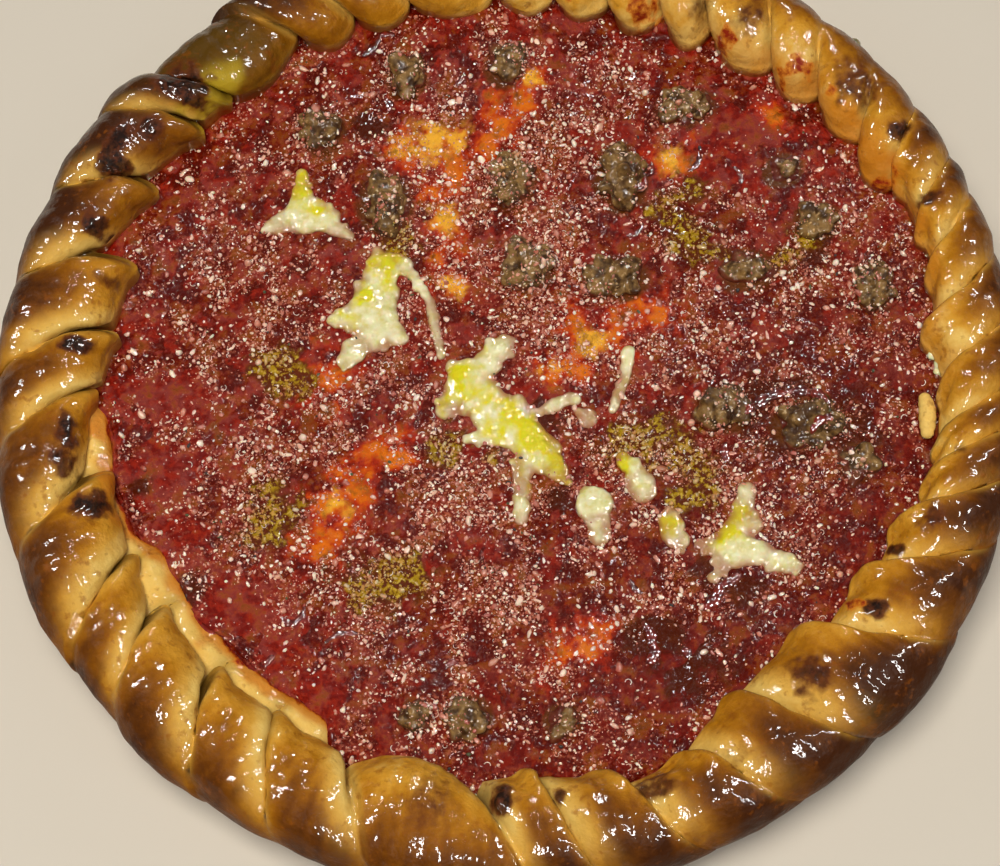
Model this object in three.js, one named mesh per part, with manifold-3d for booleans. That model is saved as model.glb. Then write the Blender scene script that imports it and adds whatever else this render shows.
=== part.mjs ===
// Stuffed deep dish pizza, whole and uncut, about 12 inches across.
//
// A thick dough case, crimped all round into leaning folds, is filled to within
// a finger's width of its crest. A layer of sauce fills the case, with lumps of
// sausage and melts of cheese lying sunk in its surface. One bead of cheese
// has run out over the wall. Nothing shows of the inside, so the case is solid
// up to the sauce.
//
// Units are millimetres, +Z is up, and the origin is the middle of the flat base.

import * as THREE from 'three';
import { mergeVertices } from 'three/addons/utils/BufferGeometryUtils.js';
import Module from 'manifold-3d';

const wasm = await Module();
wasm.setup();

const { clamp, degToRad, lerp, smoothstep } = THREE.MathUtils;

// ---------------------------------------------------------------------------
// Driving dimensions
// ---------------------------------------------------------------------------

// The case, measured in the valley between two folds
const WALL_RADIUS = 149.5; // the outer wall where it is widest
const WIDEST_HEIGHT = 29; // the height where it is widest
const CREST_HEIGHT = 39.5; // the top of the rim
const FOOT_RADIUS = 138; // the flat base
const FOOT_ROUNDING = 5; // how far the wall's lowest edge is rounded
const FLOOR_HEIGHT = 20; // the top of the solid part, under the sauce
const INNER_FOOT_HEIGHT = 32; // the inner foot of the rim, under the folds' tips
const LEDGE_WIDTH = 8; // plain dough between the tips and the sauce, at its widest

// The folds, as what they add to the valley's section
const FOLD_BULGE = 4.2; // outwards, at the widest height
const FOLD_RISE = 7; // upwards, at the crest
const FOLD_REACH = 8; // inwards, at the tip over the sauce
const FOLD_LEAN = 8; // degrees that the outer end lies further round than the tip
const FOLD_FADE_HEIGHT = 5; // below this the wall is smooth
const TIP_DROOP = 1.12; // tips point this much further down than the rim's own normal
const CRISPNESS = 0.55; // below 1 makes the crisp side of a fold steep

// The sauce
const SAUCE_LEVEL = 28; // its mean height
const SAUCE_RADIUS = 123.5; // its mean radius
const SAUCE_SHIFT = { x: 2, y: 4 }; // its middle, beside the middle of the base
const SAUCE_WAVE = 0.8; // height of each of its two sets of waves
const SAUCE_DRAFT = 4; // how much smaller it is at its underside

// Everything keeps this distance to what it touches
const GAP = 0.35;

// Where each fold's tip starts, in degrees round from +X
const FOLD_SEAMS = [
  // right-hand side and far side
  -10, -2, 6, 12, 19.5, 27, 35.5, 43, 53, 60, 67.5, 75.5, 84, 96, 104,
  // far left and left, after one long smooth stretch
  112, 128, 136.5, 145, 154.5, 165.5, 174, 186.5, 199.5, 208.5, 220, 229.5, 241.5,
  // near side
  259, 266.5, 276.5, 286.5, 298.5, 310, 321.5, 329, 335.5, 341,
];
const SMOOTH_FOLD_SEAM = 112; // the fold that starts here is only weakly raised

// ---------------------------------------------------------------------------
// Small helpers
// ---------------------------------------------------------------------------

// A smooth hump of height 1, `spread` degrees wide to each side of `middle`
function hump(degrees, middle, spread) {
  const distance = Math.abs(((degrees - middle + 540) % 360) - 180);
  return 1 - smoothstep(distance, 0, spread);
}

function colour(hex, roughness) {
  return new THREE.MeshStandardMaterial({ color: hex, roughness, metalness: 0 });
}

// A closed solid of revolution's mesh, from the axis below, out and up, and back
// to the axis above, whose vertices are placed one by one
function placedLathe(stations, columns, place) {
  const last = stations - 1;
  const onAxis = (station) => station === 0 || station === last;
  const profile = Array.from(
    { length: stations },
    (_, station) => new THREE.Vector2(onAxis(station) ? 0 : 1, station),
  );
  const geometry = new THREE.LatheGeometry(profile, columns);
  const position = geometry.attributes.position;
  for (let column = 0; column <= columns; column += 1) {
    for (let station = 0; station < stations; station += 1) {
      const point = place(column % columns, station);
      position.setXYZ(column * stations + station, point.x, point.y, point.z);
    }
  }
  return geometry;
}

function toSolid(geometry) {
  const bare = geometry.clone();
  bare.deleteAttribute('normal');
  bare.deleteAttribute('uv');
  const merged = mergeVertices(bare, 1e-4);
  const corners = merged.index.array;
  const kept = [];
  for (let i = 0; i < corners.length; i += 3) {
    const [a, b, c] = [corners[i], corners[i + 1], corners[i + 2]];
    if (a !== b && b !== c && c !== a) kept.push(a, b, c);
  }
  const mesh = new wasm.Mesh({
    numProp: 3,
    vertProperties: merged.attributes.position.array,
    triVerts: new Uint32Array(kept),
  });
  return new wasm.Manifold(mesh);
}

function toGeometry(solid) {
  const mesh = solid.getMesh();
  const geometry = new THREE.BufferGeometry();
  geometry.setAttribute('position', new THREE.BufferAttribute(mesh.vertProperties, 3));
  geometry.setIndex(new THREE.BufferAttribute(mesh.triVerts, 1));
  geometry.computeVertexNormals();
  return geometry;
}

// ---------------------------------------------------------------------------
// The sauce's outline and surface, which the case and the toppings follow
// ---------------------------------------------------------------------------

function sauceEdge(degrees) {
  const angle = degToRad(degrees);
  const shift = SAUCE_SHIFT.x * Math.cos(angle) + SAUCE_SHIFT.y * Math.sin(angle);
  const oval = 1.6 * Math.cos(2 * angle - degToRad(27));
  const threeSided = 1.9 * Math.cos(3 * angle - degToRad(36));
  const narrowPlace = -2.5 * hump(degrees, 300, 22);
  return SAUCE_RADIUS + shift + oval + threeSided + narrowPlace;
}

// On the left the folds end short of the sauce, and a ledge of plain dough shows
function ledgeWidth(degrees) {
  return LEDGE_WIDTH * hump(degrees, 208, 52);
}

function sauceTop(x, y) {
  const along = Math.sin(x / 11 + 1.3 * Math.sin(y / 17));
  const across = Math.sin(y / 9 + 1.2 * Math.cos(x / 19));
  return SAUCE_LEVEL + SAUCE_WAVE * (along + across);
}

// ---------------------------------------------------------------------------
// Crust: the case with its crimped rim
// ---------------------------------------------------------------------------

function makeFolds() {
  return FOLD_SEAMS.map((start, index) => {
    const end = index + 1 < FOLD_SEAMS.length ? FOLD_SEAMS[index + 1] : FOLD_SEAMS[0] + 360;
    const middle = (start + end) / 2;
    const smooth = start === SMOOTH_FOLD_SEAM;
    const uneven = 1 + 0.12 * Math.sin(index * 2.4) + 0.08 * Math.sin(index * 5.1);
    // -1 has its crisp side at its start, 1 at its end, and 0 is even
    const onLeft = middle > 125 && middle < 250;
    const nearOrRight = middle > 262 || middle < 18;
    const crispSide = (nearOrRight ? 1 : 0) - (onLeft ? 1 : 0);
    return { start, end, height: smooth ? 0.55 : uneven, crispSide };
  });
}

// Height of a fold, 0 to 1, at a fraction of its width: steep at its crisp side,
// and falling slowly to the side that the next fold covers
function foldHeight(fraction, crispSide) {
  const even = Math.sin(Math.PI * fraction) ** 0.7;
  const fromStart = Math.sin(Math.PI * fraction ** CRISPNESS);
  const fromEnd = Math.sin(Math.PI * (1 - fraction) ** CRISPNESS);
  const crisp = crispSide < 0 ? fromStart : fromEnd;
  return lerp(even, crisp, Math.abs(crispSide));
}

const COLUMN_WIDTH = 2.6; // degrees of fold between two columns of the mesh
const LEAST_COLUMNS = 4;
const CROWDING = 1.4; // above 1 draws the columns together at the crisp side

// The mesh's columns, each with its angle round the rim and how far it is raised
function makeColumns(folds) {
  const columns = [];
  for (const fold of folds) {
    const width = fold.end - fold.start;
    const count = Math.max(LEAST_COLUMNS, Math.round(width / COLUMN_WIDTH));
    for (let i = 0; i < count; i += 1) {
      const even = i / count;
      const towardsStart = even ** CROWDING;
      const towardsEnd = 1 - (1 - even) ** CROWDING;
      const fraction = [towardsStart, even, towardsEnd][fold.crispSide + 1];
      const raised = Math.max(0, foldHeight(fraction, fold.crispSide)) * fold.height;
      columns.push({ angle: fold.start + fraction * width, raised });
    }
  }
  return columns;
}

const WALL_STATIONS = [2, 8, 18]; // heights of the mesh's rings, up the outer wall
const RIM_STATIONS = [0, 30, 60, 90, 120, 150, 172]; // and in degrees over the rim
const RIM_SPAN = 172;
const TIP_TURN = 150; // where over the rim the tips reach furthest in

// How far a full fold stands out from the rim, at an angle over it
function foldPush(turn) {
  if (turn <= 90) return lerp(FOLD_BULGE, FOLD_RISE, Math.sin(degToRad(turn)));
  const towardsTip = (turn - 90) / (TIP_TURN - 90);
  return lerp(FOLD_RISE, FOLD_REACH, Math.min(towardsTip, 1));
}

function wallPoint(height, raised, swell) {
  const upTheWall = Math.sin((height / WIDEST_HEIGHT) * (Math.PI / 2));
  const plain = lerp(FOOT_RADIUS + FOOT_ROUNDING, WALL_RADIUS, upTheWall);
  const fade = (height - FOLD_FADE_HEIGHT) / (WIDEST_HEIGHT - FOLD_FADE_HEIGHT);
  const bulge = raised * FOLD_BULGE * clamp(fade, 0, 1);
  return { radius: plain + bulge + swell, height, lean: FOLD_LEAN };
}

// The rim is an arch from the wall to its inner foot, with the fold pushed out of it
function rimPoint(turn, innerRadius, raised, swell) {
  const angle = degToRad(turn);
  const middle = (WALL_RADIUS + innerRadius) / 2;
  const halfWidth = (WALL_RADIUS - innerRadius) / 2;
  const footRise = INNER_FOOT_HEIGHT - WIDEST_HEIGHT;
  const archRise = CREST_HEIGHT - WIDEST_HEIGHT - footRise / 2;
  const arch = archRise * Math.sin(angle) + footRise * Math.sin(angle / 2) ** 2;
  const pushAngle = degToRad(Math.min(turn * TIP_DROOP, 180));
  const push = raised * foldPush(turn) + swell;
  return {
    radius: middle + halfWidth * Math.cos(angle) + push * Math.cos(pushAngle),
    height: WIDEST_HEIGHT + arch + push * Math.sin(pushAngle),
    lean: FOLD_LEAN * (1 - turn / RIM_SPAN),
  };
}

// One column's section, as points { radius, height, lean } from axis to axis
function crustSection({ angle, raised }, swell) {
  const sauce = sauceEdge(angle);
  const innerRadius = sauce + ledgeWidth(angle) + FOLD_REACH - 1;
  return [
    { radius: 0, height: 0, lean: 0 },
    { radius: FOOT_RADIUS, height: 0, lean: FOLD_LEAN },
    ...WALL_STATIONS.map((height) => wallPoint(height, raised, swell)),
    ...RIM_STATIONS.map((turn) => rimPoint(turn, innerRadius, raised, swell)),
    { radius: sauce, height: SAUCE_LEVEL, lean: 0 },
    { radius: sauce - SAUCE_DRAFT, height: FLOOR_HEIGHT, lean: 0 },
    { radius: 0, height: FLOOR_HEIGHT, lean: 0 },
  ];
}

function crustGeometry(swell = 0) {
  const columns = makeColumns(makeFolds());
  const sections = columns.map((column) => crustSection(column, swell));
  return placedLathe(sections[0].length, columns.length, (column, station) => {
    const { radius, height, lean } = sections[column][station];
    const angle = degToRad(columns[column].angle + lean);
    return new THREE.Vector3(radius * Math.cos(angle), radius * Math.sin(angle), height);
  });
}

// ---------------------------------------------------------------------------
// Sauce: a disc with a gently waved top, before the toppings are sunk in it
// ---------------------------------------------------------------------------

const SAUCE_EDGE_DROP = 0.6; // how far the sauce's rim lies below its level
const SAUCE_RINGS = [0.995, 0.92, 0.74, 0.52, 0.28]; // radii, as parts of the edge's
const SAUCE_COLUMNS = 38;

function sauceGeometry() {
  const underside = FLOOR_HEIGHT + GAP;
  const stations = SAUCE_RINGS.length + 3;
  return placedLathe(stations, SAUCE_COLUMNS, (column, station) => {
    const degrees = (column / SAUCE_COLUMNS) * 360;
    const angle = degToRad(degrees);
    const edge = sauceEdge(degrees) - 2 * GAP;
    if (station === 0) return new THREE.Vector3(0, 0, underside);
    if (station === stations - 1) return new THREE.Vector3(0, 0, sauceTop(0, 0));
    const onUnderside = station === 1;
    const radius = onUnderside ? edge - SAUCE_DRAFT : edge * SAUCE_RINGS[station - 2];
    const x = radius * Math.cos(angle);
    const y = radius * Math.sin(angle);
    const atEdge = station === 2;
    const top = atEdge ? SAUCE_LEVEL - SAUCE_EDGE_DROP : sauceTop(x, y);
    return new THREE.Vector3(x, y, onUnderside ? underside : top);
  });
}

// ---------------------------------------------------------------------------
// Sausage: crumbled lumps, half sunk in the sauce
// ---------------------------------------------------------------------------

const SAUSAGE_DEPTH = 6.2; // half the height of a middling lump
const SAUSAGE_MIDDLING_WIDTH = 17;
const SAUSAGE_LIFT = 0.7; // height of a lump's middle above the sauce
const SAUSAGES = [
  { x: -18, y: 106, wide: 15, deep: 16 },
  { x: 13.5, y: 105.5, wide: 15, deep: 13 },
  { x: -48, y: 90, wide: 15, deep: 16 },
  { x: -29, y: 62.5, wide: 16.5, deep: 23 },
  { x: 10.5, y: 64, wide: 16.5, deep: 19 },
  { x: 44, y: 62, wide: 17.5, deep: 22.5 },
  { x: 67, y: 82.5, wide: 18, deep: 14 },
  { x: 95, y: 57, wide: 12.5, deep: 10 },
  { x: 102.5, y: 39, wide: 15, deep: 11.5 },
  { x: 11.5, y: 36, wide: 18, deep: 19 },
  { x: 37.5, y: 28, wide: 18.5, deep: 16 },
  { x: 78.5, y: 25, wide: 18.5, deep: 15 },
  { x: 115.5, y: 15.5, wide: 14, deep: 17 },
  { x: 64, y: -17.5, wide: 18, deep: 16 },
  { x: 89.5, y: -25.5, wide: 19, deep: 18 },
  { x: 101, y: -40, wide: 13.5, deep: 13 },
  { x: -24, y: -100, wide: 15, deep: 13 },
  { x: -38.5, y: -98.5, wide: 11, deep: 10.5 },
  { x: 4.5, y: -105.5, wide: 12, deep: 10.5 },
];

function sausageGeometry(sausage, index, swell = 0) {
  const { x, y, wide, deep } = sausage;
  const size = (wide + deep) / 2 / SAUSAGE_MIDDLING_WIDTH;
  const half = SAUSAGE_DEPTH * clamp(size, 0.8, 1.1);
  const geometry = new THREE.IcosahedronGeometry(1, 1);
  const position = geometry.attributes.position;
  const direction = new THREE.Vector3();
  for (let i = 0; i < position.count; i += 1) {
    direction.fromBufferAttribute(position, i).normalize();
    const lumps = Math.sin(3 * direction.x + index) * Math.cos(3.7 * direction.y - 2 * index);
    const dents = Math.sin(5 * direction.z + 4 * direction.x + 1.7 * index);
    const radius = 0.9 + 0.09 * lumps + 0.05 * dents;
    position.setXYZ(
      i,
      direction.x * ((wide / 2) * radius + swell),
      direction.y * ((deep / 2) * radius + swell),
      direction.z * (half * radius + swell),
    );
  }
  geometry.translate(x, y, SAUCE_LEVEL + SAUSAGE_LIFT);
  return geometry;
}

// ---------------------------------------------------------------------------
// Cheese: soft melts and pulled strands, lying on the sauce
// ---------------------------------------------------------------------------

const CHEESE_THICKNESS = 0.45; // height of a strand's top, as a part of its radius
const CHEESE_LEAST_THICKNESS = 1.3;
const CHEESE_LIFT = 0.6; // height of a strand's middle above the sauce

function strand(fromX, fromY, fromRadius, toX, toY, toRadius) {
  return { from: [fromX, fromY], fromRadius, to: [toX, toY], toRadius };
}

const CHEESE_MELTS = [
  // a three-cornered patch
  [
    strand(-55, 63, 4.4, -65, 59, 2.7),
    strand(-55, 63, 4, -54, 74, 2.4),
    strand(-55, 62, 4, -42, 54, 1.6),
  ],
  // a large torn patch with a strand pulled from its top
  [
    strand(-31, 41, 4.2, -37, 27, 6.6),
    strand(-37, 26, 5, -50, 25, 1.8),
    strand(-37, 25, 6, -46, 12, 2.7),
    strand(-37, 25, 5.4, -29, 17, 2.7),
    strand(-28, 42, 2.1, -20, 29, 1.6),
    strand(-20, 29, 1.8, -18, 11, 1.4),
  ],
  // the big star in the middle
  [
    strand(-11, 2, 7.2, -1, 9, 4.2),
    strand(-13, 0, 5.4, -18, -6, 2.7),
    strand(-6, -2, 5.4, -1, -11, 4.8),
    strand(-1, -11, 5.1, 9, -30, 4.2),
    strand(1, -19, 4.5, -13, -16, 1.6),
    strand(9, -29, 3.4, 15, -36, 1.6),
    strand(3, -25, 3, 0, -43, 2.7),
  ],
  [strand(12, -11, 2.1, 20, -8, 2.1)],
  [strand(24, -16, 3, 25, -16, 2.7)],
  // a curved strand
  [strand(38, 4, 2.3, 36, -4, 2), strand(36, -4, 2, 31, -13, 1.8)],
  [strand(21, -43, 5.1, 22, -51, 3.3)],
  [strand(37, -37, 5.1, 32, -29, 2.4), strand(37, -37, 4.8, 38, -41, 3.6)],
  [strand(43, -53, 5, 49, -58, 2.2), strand(43, -52, 4, 42.5, -49, 2.2)],
  // a small star with four arms
  [
    strand(62, -60, 5.1, 67, -44, 2.7),
    strand(61, -61, 4.8, 77, -71, 2.4),
    strand(61, -61, 3.6, 54, -69, 1.8),
    strand(61, -60, 4, 55, -59, 1.6),
  ],
];

// A ball at each end of a strand, joined by a tapering body: a sphere whose two
// halves are drawn apart, and flattened
function strandGeometry({ from, fromRadius, to, toRadius }) {
  const geometry = new THREE.SphereGeometry(1, 6, 4);
  const position = geometry.attributes.position;
  const along = new THREE.Vector2(to[0] - from[0], to[1] - from[1]).normalize();
  const direction = new THREE.Vector3();
  for (let i = 0; i < position.count; i += 1) {
    direction.fromBufferAttribute(position, i);
    // the sphere's own axis, Y, lies along the strand
    const atEnd = direction.y > 0;
    const radius = atEnd ? toRadius : fromRadius;
    const half = Math.max(CHEESE_LEAST_THICKNESS, radius * CHEESE_THICKNESS);
    const [middleX, middleY] = atEnd ? to : from;
    position.setXYZ(
      i,
      middleX + radius * (direction.y * along.x + direction.x * along.y),
      middleY + radius * (direction.y * along.y - direction.x * along.x),
      sauceTop(middleX, middleY) + CHEESE_LIFT + half * direction.z,
    );
  }
  return geometry;
}

// Its underside is the sauce's own surface, a gap higher
function cheeseSolid(strands) {
  const solids = strands.map((each) => toSolid(strandGeometry(each)));
  const whole = solids.reduce((joined, next) => joined.add(next));
  return whole.subtract(toSolid(sauceGeometry().translate(0, 0, GAP)));
}

// ---------------------------------------------------------------------------
// One bead of cheese that has run out over the wall
// ---------------------------------------------------------------------------

const DRIP_ANGLE = 38; // degrees round from +X
const DRIP_RADIUS = 150.5; // where its middle lies
const DRIP_HEIGHT = 31;
const DRIP_HALF_SIZE = { outwards: 6.2, sideways: 6.6, up: 6 };

function dripSolid() {
  const geometry = new THREE.SphereGeometry(1, 10, 7);
  geometry.scale(DRIP_HALF_SIZE.outwards, DRIP_HALF_SIZE.sideways, DRIP_HALF_SIZE.up);
  const angle = degToRad(DRIP_ANGLE);
  geometry.rotateZ(angle);
  geometry.translate(DRIP_RADIUS * Math.cos(angle), DRIP_RADIUS * Math.sin(angle), DRIP_HEIGHT);
  return toSolid(geometry).subtract(toSolid(crustGeometry(GAP)));
}

// ---------------------------------------------------------------------------
// The pizza
// ---------------------------------------------------------------------------

const pizza = new THREE.Group();

function addPiece(name, geometry, material) {
  const mesh = new THREE.Mesh(geometry, material);
  mesh.name = name;
  pizza.add(mesh);
}

const numbered = (name, index) => `${name}_${String(index + 1).padStart(2, '0')}`;

addPiece('crust', crustGeometry(), colour('#c98a3a', 0.35));

let sauceSolid = toSolid(sauceGeometry());
SAUSAGES.forEach((sausage, index) => {
  sauceSolid = sauceSolid.subtract(toSolid(sausageGeometry(sausage, index, GAP)));
});
addPiece('sauce', toGeometry(sauceSolid), colour('#8e1a14', 0.3));

const sausageColour = colour('#6b5236', 0.6);
SAUSAGES.forEach((sausage, index) => {
  addPiece(numbered('sausage', index), sausageGeometry(sausage, index), sausageColour);
});

const cheeseColour = colour('#e6dd9e', 0.4);
CHEESE_MELTS.forEach((strands, index) => {
  addPiece(numbered('cheese_melt', index), toGeometry(cheeseSolid(strands)), cheeseColour);
});
addPiece('edge_drip', toGeometry(dripSolid()), cheeseColour);

export default pizza;
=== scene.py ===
# %% [markdown]
# # A stuffed deep dish pizza
#
# The real thing is a case of dough, crimped round its rim into leaning folds and
# baked brown, with a layer of crushed tomato sauce over its filling. Lumps of
# sausage and melts of mozzarella lie sunk in the sauce, and grated hard cheese,
# herbs and oil are spread over it. This lesson makes each of these as a mesh
# with its own material, round a fixed model of the same pizza whose sizes it
# keeps.

import math

import bpy
import mathutils.kdtree
import numpy as np
from mathutils import Matrix, Vector


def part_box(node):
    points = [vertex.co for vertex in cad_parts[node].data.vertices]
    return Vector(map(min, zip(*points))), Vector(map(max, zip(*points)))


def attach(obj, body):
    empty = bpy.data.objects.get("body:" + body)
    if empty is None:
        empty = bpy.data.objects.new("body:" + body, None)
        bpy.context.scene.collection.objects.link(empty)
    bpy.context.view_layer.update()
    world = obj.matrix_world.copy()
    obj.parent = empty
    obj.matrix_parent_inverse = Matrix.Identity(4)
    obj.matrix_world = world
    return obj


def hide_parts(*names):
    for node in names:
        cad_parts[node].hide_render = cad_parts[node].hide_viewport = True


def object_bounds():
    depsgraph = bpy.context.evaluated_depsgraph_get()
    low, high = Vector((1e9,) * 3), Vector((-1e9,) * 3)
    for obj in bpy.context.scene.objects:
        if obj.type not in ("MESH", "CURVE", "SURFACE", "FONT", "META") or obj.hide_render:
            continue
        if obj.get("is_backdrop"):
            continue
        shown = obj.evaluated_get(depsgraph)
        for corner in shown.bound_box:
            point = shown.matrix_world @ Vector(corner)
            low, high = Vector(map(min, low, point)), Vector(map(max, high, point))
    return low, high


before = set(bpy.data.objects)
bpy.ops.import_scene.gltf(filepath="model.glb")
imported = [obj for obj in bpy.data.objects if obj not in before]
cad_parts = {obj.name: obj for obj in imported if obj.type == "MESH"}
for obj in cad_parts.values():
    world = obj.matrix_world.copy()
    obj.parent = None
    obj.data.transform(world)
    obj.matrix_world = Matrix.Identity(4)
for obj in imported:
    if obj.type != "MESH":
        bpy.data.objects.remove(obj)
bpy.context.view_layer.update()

# %% [markdown]
# ## Sizes, colours and nodes
#
# The lesson measures in millimetres and turns them into Blender's metres at the
# moment a mesh is made. Colours are written the way a paint program shows them
# and turned into the linear values that shaders work in. One function adds a
# node to a tree with its settings and links, so that a material or a shape
# reads from top to bottom like a recipe.

# %% Sizes, colours and nodes
MM = 0.001


def linear(code):
    """An sRGB hex colour as linear red, green, blue and alpha."""
    parts = [int(code[start : start + 2], 16) / 255 for start in (1, 3, 5)]
    return (*(p / 12.92 if p <= 0.04045 else ((p + 0.055) / 1.055) ** 2.4 for p in parts), 1)


def open_socket(sockets, key):
    """The socket at a number, or the first one in use that has a name."""
    if isinstance(key, int):
        return sockets[key]
    return next(socket for socket in sockets if socket.name == key and socket.enabled)


def feed(tree, node, inputs):
    """Sets inputs of a node. Each takes a value, a socket, or a node's first output."""
    for key, value in inputs.items():
        socket = open_socket(node.inputs, key)
        if isinstance(value, bpy.types.Node):
            value = next(output for output in value.outputs if output.enabled)
        if isinstance(value, bpy.types.NodeSocket):
            tree.links.new(value, socket)
        else:
            socket.default_value = value


def add(tree, kind, inputs=None, **settings):
    """Adds one node with its settings and links."""
    node = tree.nodes.new(kind)
    for name, value in settings.items():
        setattr(node, name, value)
    feed(tree, node, inputs or {})
    return node


print("a baked brown in linear values:", [round(part, 3) for part in linear("#A9681C")])

# %% [markdown]
# ## Helpers for making surfaces
#
# Food has no flat faces, so most surfaces here are fine grids of points that
# formulas and random swells push about. The swells come from a small noise of
# our own, which mixes the numbers of the eight corners round each point: it
# gives the same surface on each run.

# %% Helpers for making surfaces


def ease(value, low, high):
    """0 below low, 1 above high, and a smooth step between them."""
    share = np.clip((value - low) / (high - low), 0, 1)
    return share * share * (3 - 2 * share)


def mix(first, second, share):
    return first + (second - first) * share


def scramble(cell, seed):
    """One random number, 0 to 1, for each whole-numbered cell."""
    mixed = cell[..., 0] * 73856093 ^ cell[..., 1] * 19349663 ^ cell[..., 2] * 83492791
    mixed = (mixed + seed * 2654435) & 0xFFFFFFF
    mixed = (mixed ^ (mixed >> 13)) * 1274126 & 0xFFFFFFF
    mixed = (mixed ^ (mixed >> 11)) * 7919 & 0xFFFFFFF
    return (mixed ^ (mixed >> 9)) % 65536 / 65536


def swell(points, size, seed):
    """A smooth random value, about −1 to 1, with swells `size` millimetres across."""
    place = points / size + 0.37 * seed
    cell = np.floor(place).astype(np.int64)
    part = place - cell
    part = part * part * (3 - 2 * part)
    total = 0
    for corner in np.ndindex(2, 2, 2):
        weight = np.prod(np.where(corner, part, 1 - part), axis=-1)
        total = total + weight * scramble(cell + np.array(corner), seed)
    return total * 2.6 - 1.3


first_swells = swell(np.arange(9.0).reshape(3, 3), 2, 1)
print("swells at three places:", [round(float(value), 2) for value in first_swells])

# %% Helpers for meshes


def outward(points):
    """Unit normals of a grid of points [rows, columns] whose columns close round."""
    along = np.gradient(points, axis=0)
    across = np.roll(points, -1, axis=1) - np.roll(points, 1, axis=1)
    normal = np.cross(across, along)
    return normal / np.maximum(np.linalg.norm(normal, axis=-1, keepdims=True), 1e-9)


def mesh_from(name, points, faces):
    """A mesh of that name from points in millimetres, shaded smooth."""
    mesh = bpy.data.meshes.new(name)
    mesh.from_pydata((np.asarray(points) * MM).tolist(), [], faces)
    mesh.shade_smooth()
    return mesh


def place_in_scene(name, mesh):
    piece = bpy.data.objects.new(name, mesh)
    bpy.context.scene.collection.objects.link(piece)
    return piece


def paint(mesh, name, values):
    """Keeps one number for each point, for materials and scattering to read."""
    layer = mesh.attributes.new(name, "FLOAT", "POINT")
    layer.data.foreach_set("value", np.asarray(values, np.float32).ravel())


def numbers_of(mesh, name):
    values = np.zeros(len(mesh.vertices), np.float32)
    mesh.attributes[name].data.foreach_get("value", values)
    return values


def points_of(mesh):
    flat = np.zeros(len(mesh.vertices) * 3, np.float32)
    mesh.vertices.foreach_get("co", flat)
    return flat.reshape(-1, 3).astype(float) / MM


def finish_piece(piece, slot, material, *nodes):
    """Gives a piece its material, hangs it under the root, and hides the nodes of the fixed model that it
    stands for.
    """
    piece.data.materials.clear()
    piece.data.materials.append(material)
    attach(piece, "root")
    if nodes:
        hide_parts(*nodes)
    triangles = sum(len(face.vertices) - 2 for face in piece.data.polygons)
    print(f"{piece.name}: {triangles} triangles")


# %% [markdown]
# ## Floor, camera and lamps
#
# The pizza stands on a plain pale floor. The camera looks steeply down on it
# from hand height. A wide soft lamp and a pale room light it evenly. A few long
# thin tubes hang low on all sides: what lies flat mirrors none of them to the
# camera, so its colour stays deep, and only swells, beads and folds catch them as
# bright crooked lines. Three bulbs are small enough to be mirrored only here and
# there, in pools and ripples. All of it is only the stage, and isn't part of the
# pizza.

# %% The camera
CAMERA_ELEVATION = math.radians(72)
CAMERA_ROLL = -0.13  # radians
CAMERA_DISTANCE = 700 * MM
CAMERA_TARGET = Vector((-3.3, -16.4, 30)) * MM
CAMERA_LENS = 84.4

camera = bpy.data.objects.new("camera", bpy.data.cameras.new("camera"))
bpy.context.scene.collection.objects.link(camera)
bpy.context.scene.camera = camera
camera.data.lens = CAMERA_LENS
camera.data.clip_start = 0.01
back = Vector((0, -math.cos(CAMERA_ELEVATION), math.sin(CAMERA_ELEVATION)))
right = Vector((1, 0, 0))
up = Vector((0, math.sin(CAMERA_ELEVATION), math.cos(CAMERA_ELEVATION)))
turned_right = right * math.cos(CAMERA_ROLL) + up * math.sin(CAMERA_ROLL)
turned_up = up * math.cos(CAMERA_ROLL) - right * math.sin(CAMERA_ROLL)
facing = Matrix((turned_right, turned_up, back)).transposed()
camera.matrix_world = Matrix.Translation(CAMERA_TARGET + back * CAMERA_DISTANCE) @ facing.to_4x4()
print("camera:", round(math.degrees(CAMERA_ELEVATION)), "degrees up and", CAMERA_DISTANCE, "m away")

# %% The lamps


def overhead_lamp(name, place, wide, long, power, colour):
    """A rectangular lamp at a place in metres, facing the middle of the pizza."""
    data = bpy.data.lights.new(name, "AREA")
    data.shape = "RECTANGLE"
    data.size = wide
    data.size_y = long
    data.energy = power
    data.color = linear(colour)[:3]
    lamp = place_in_scene(name, data)
    lamp.location = place
    towards = Vector((0, 0, 0.03)) - Vector(place)
    lamp.rotation_euler = towards.to_track_quat("-Z", "Y").to_euler()
    return lamp


KEY = dict(place=(-0.1, -0.2, 1.4), wide=0.6, long=0.5, power=19, colour="#FFF3E0")
TUBES = [  # where each bright tube hangs, in metres
    (0.95, 0.15, 0.85), (-0.9, 0.25, 0.85), (0.1, 1.15, 0.8), (-0.25, -0.75, 0.95), (0.6, -0.5, 0.9),
]
TUBE = dict(wide=0.06, long=0.45, power=11, colour="#FFFDF8")
BULBS = [(0.17, 0.2, 1.2), (0.27, 0.4, 1.2), (-0.12, 0.3, 1.2)]  # seen in what lies nearly flat
BULB = dict(wide=0.045, long=0.045, power=1.1, colour="#FFFDF8")
overhead_lamp("soft_key", **KEY).visible_glossy = False  # it only lights: the others make highlights
for title, places, kind in (("tube", TUBES, TUBE), ("bulb", BULBS, BULB)):
    for number, place in enumerate(places):
        overhead_lamp(f"{title}_{number}", place, **kind).visible_diffuse = False
print("lamps:", 1 + len(TUBES) + len(BULBS))

# %% The room and the floor
FLOOR_REACH = 3  # metres to each side
FLOOR_COLOUR = "#D9D6D0"
PAPER_ROUGHNESS = 0.9
ROOM_COLOUR = "#E6EAF0"
ROOM_STRENGTH = 0.06

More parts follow.
